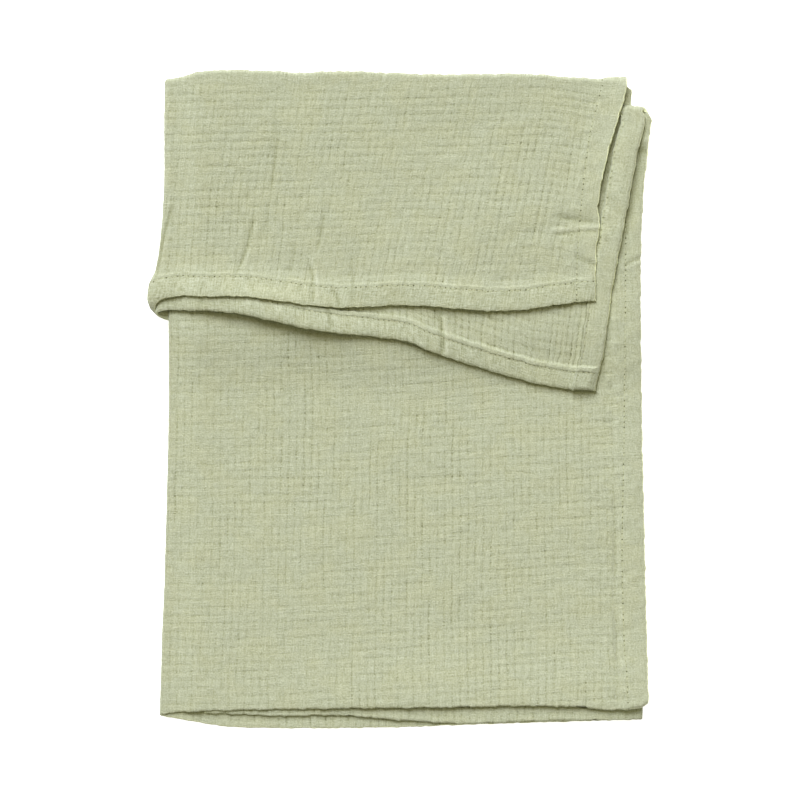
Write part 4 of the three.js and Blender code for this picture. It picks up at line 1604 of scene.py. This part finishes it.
# Painted highlight: the rounded rims themselves are painted lighter still, most at the free sides,
# and a little less so in the blue.
rim_highlight_gain = spread_value(tree, hem["X"], -16.0, -14.0, SIDE_RIM_HIGHLIGHT, OTHER_RIM_HIGHLIGHT)
rim_highlight_there = spread_value(tree, hem["Z"], 0.2, 1.0, 1.0, 0.0)
painted_rim_highlight = calculate(tree, "MULTIPLY", rim_highlight_there, rim_highlight_gain)
blue = calculate(tree, "POWER", shade, BLUE_POWER)
with_rim_highlight = calculate(tree, "ADD", shade, painted_rim_highlight)
shades = add_node(tree, "ShaderNodeCombineXYZ", {
    "X": with_rim_highlight, "Y": with_rim_highlight, "Z": add_effects(tree, blue, [(painted_rim_highlight, BLUE_OF_RIM_HIGHLIGHT)]),
})
colour = scaled(tree, dye, shades.outputs[0])

height = add_effects(tree, yarns["Streaks"], [
    (yarns["Weave"], 0.08),
    (yarns["Grain"], 0.7),
    (marks, -0.35),
    (holes, -1.2),
])
bump = add_node(tree, "ShaderNodeBump", {
    "Height": height, "Distance": 0.35 * MILLIMETRE, "Strength": 0.9,
})
roughness = spread_value(tree, marks, 0.0, 1.0, ROUGHNESS, ROUGHNESS + 0.06)
tree.links.new(colour, shader.inputs["Base Color"])
tree.links.new(roughness, shader.inputs["Roughness"])
tree.links.new(bump.outputs["Normal"], shader.inputs["Normal"])
shader.inputs["Specular IOR Level"].default_value = 0.25
shader.inputs["Sheen Weight"].default_value = 0.1
shader.inputs["Sheen Roughness"].default_value = 0.5
sheet.data.materials.append(gauze)

# %% [markdown]
# ## The thread
# The thread is spun cotton of the same dye. Its own coordinates are enough here: a fine noise
# stands for the twist of its fibres.

# %% Material of the stitches
thread = bpy.data.materials.new("sage_thread")
thread.use_nodes = True
tree = thread.node_tree
shader = tree.nodes["Principled BSDF"]
own_place = add_node(tree, "ShaderNodeTexCoord").outputs["Object"]
in_millimetres = scaled(tree, own_place, (1000, 1000, 1000))
dye = use_group(tree, dye_mottle, {
    "Cloth": in_millimetres, "Green": linear(186, 191, 158), "Sand": linear(190, 190, 158),
})["Color"]
fibres = fine_noise(tree, scaled(tree, own_place, (3000, 3000, 3000)))
bump = add_node(tree, "ShaderNodeBump", {
    "Height": fibres, "Distance": 0.1 * MILLIMETRE, "Strength": 0.5,
})
tree.links.new(dye, shader.inputs["Base Color"])
tree.links.new(spread_value(tree, fibres, 0.3, 0.7, 0.7, 0.85), shader.inputs["Roughness"])
tree.links.new(bump.outputs["Normal"], shader.inputs["Normal"])
shader.inputs["Sheen Weight"].default_value = 0.1
stitches.data.materials.append(thread)

# %% [markdown]
# ## Floor and light
# Catalogue photographers lay such a thing on a light table, a white plate that glows a little
# and so washes out the shadows round it. A weak warm light overhead fills the shadows, and a
# strong one from the top left of the picture draws the folds. Both are suns, so that the whole
# pile is lit alike.

# %% Floor
FLOOR_SIZE = 6.0
FLOOR_DROP = 0.2 * MILLIMETRE
floor_mesh = bpy.data.meshes.new("light_table")
half = FLOOR_SIZE / 2
floor_mesh.from_pydata(
    [(-half, -half, 0), (half, -half, 0), (half, half, 0), (-half, half, 0)], [], [(0, 1, 2, 3)]
)
floor = bpy.data.objects.new("light_table", floor_mesh)
floor.location.z = -FLOOR_DROP
bpy.context.scene.collection.objects.link(floor)
white = bpy.data.materials.new("white_plate")
white.use_nodes = True
white_shader = white.node_tree.nodes["Principled BSDF"]
white_shader.inputs["Base Color"].default_value = (0.6, 0.6, 0.6, 1)
white_shader.inputs["Roughness"].default_value = 0.9
white_shader.inputs["Emission Color"].default_value = (1, 1, 1, 1)
white_shader.inputs["Emission Strength"].default_value = 0.9
floor_mesh.materials.append(white)

# %% Lights
world = bpy.data.worlds.new("studio")
world.use_nodes = True
world.node_tree.nodes["Background"].inputs["Color"].default_value = (1, 0.93, 0.5, 1)
world.node_tree.nodes["Background"].inputs["Strength"].default_value = 0.06
bpy.context.scene.world = world


def soft_sun(name, comes_from, spread, strength, colour):
    """A sun as wide in the sky as 'spread' degrees: the wider, the softer its shadows."""
    light = bpy.data.lights.new(name, "SUN")
    light.angle = math.radians(spread)
    light.energy = strength
    light.color = colour
    lamp = bpy.data.objects.new(name, light)
    lamp.location = comes_from
    lamp.rotation_mode = "QUATERNION"
    lamp.rotation_quaternion = (-Vector(comes_from)).to_track_quat("-Z", "Y")
    bpy.context.scene.collection.objects.link(lamp)


soft_sun("overhead_light", (0, 0.2, 2), 45, 0.8, (1, 0.94, 0.55))
soft_sun("key_light", (-0.55, 1.65, 1.6), 42, 4.3, (0.98, 1, 1))
bpy.context.scene.view_settings.view_transform = "Standard"

# %% [markdown]
# ## Ride and replace
# The fine cloth replaces the plain solid and rides on the only body.

# %% Ride and replace
for piece in (sheet, stitches):
    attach(piece, "root")
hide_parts("sheet")
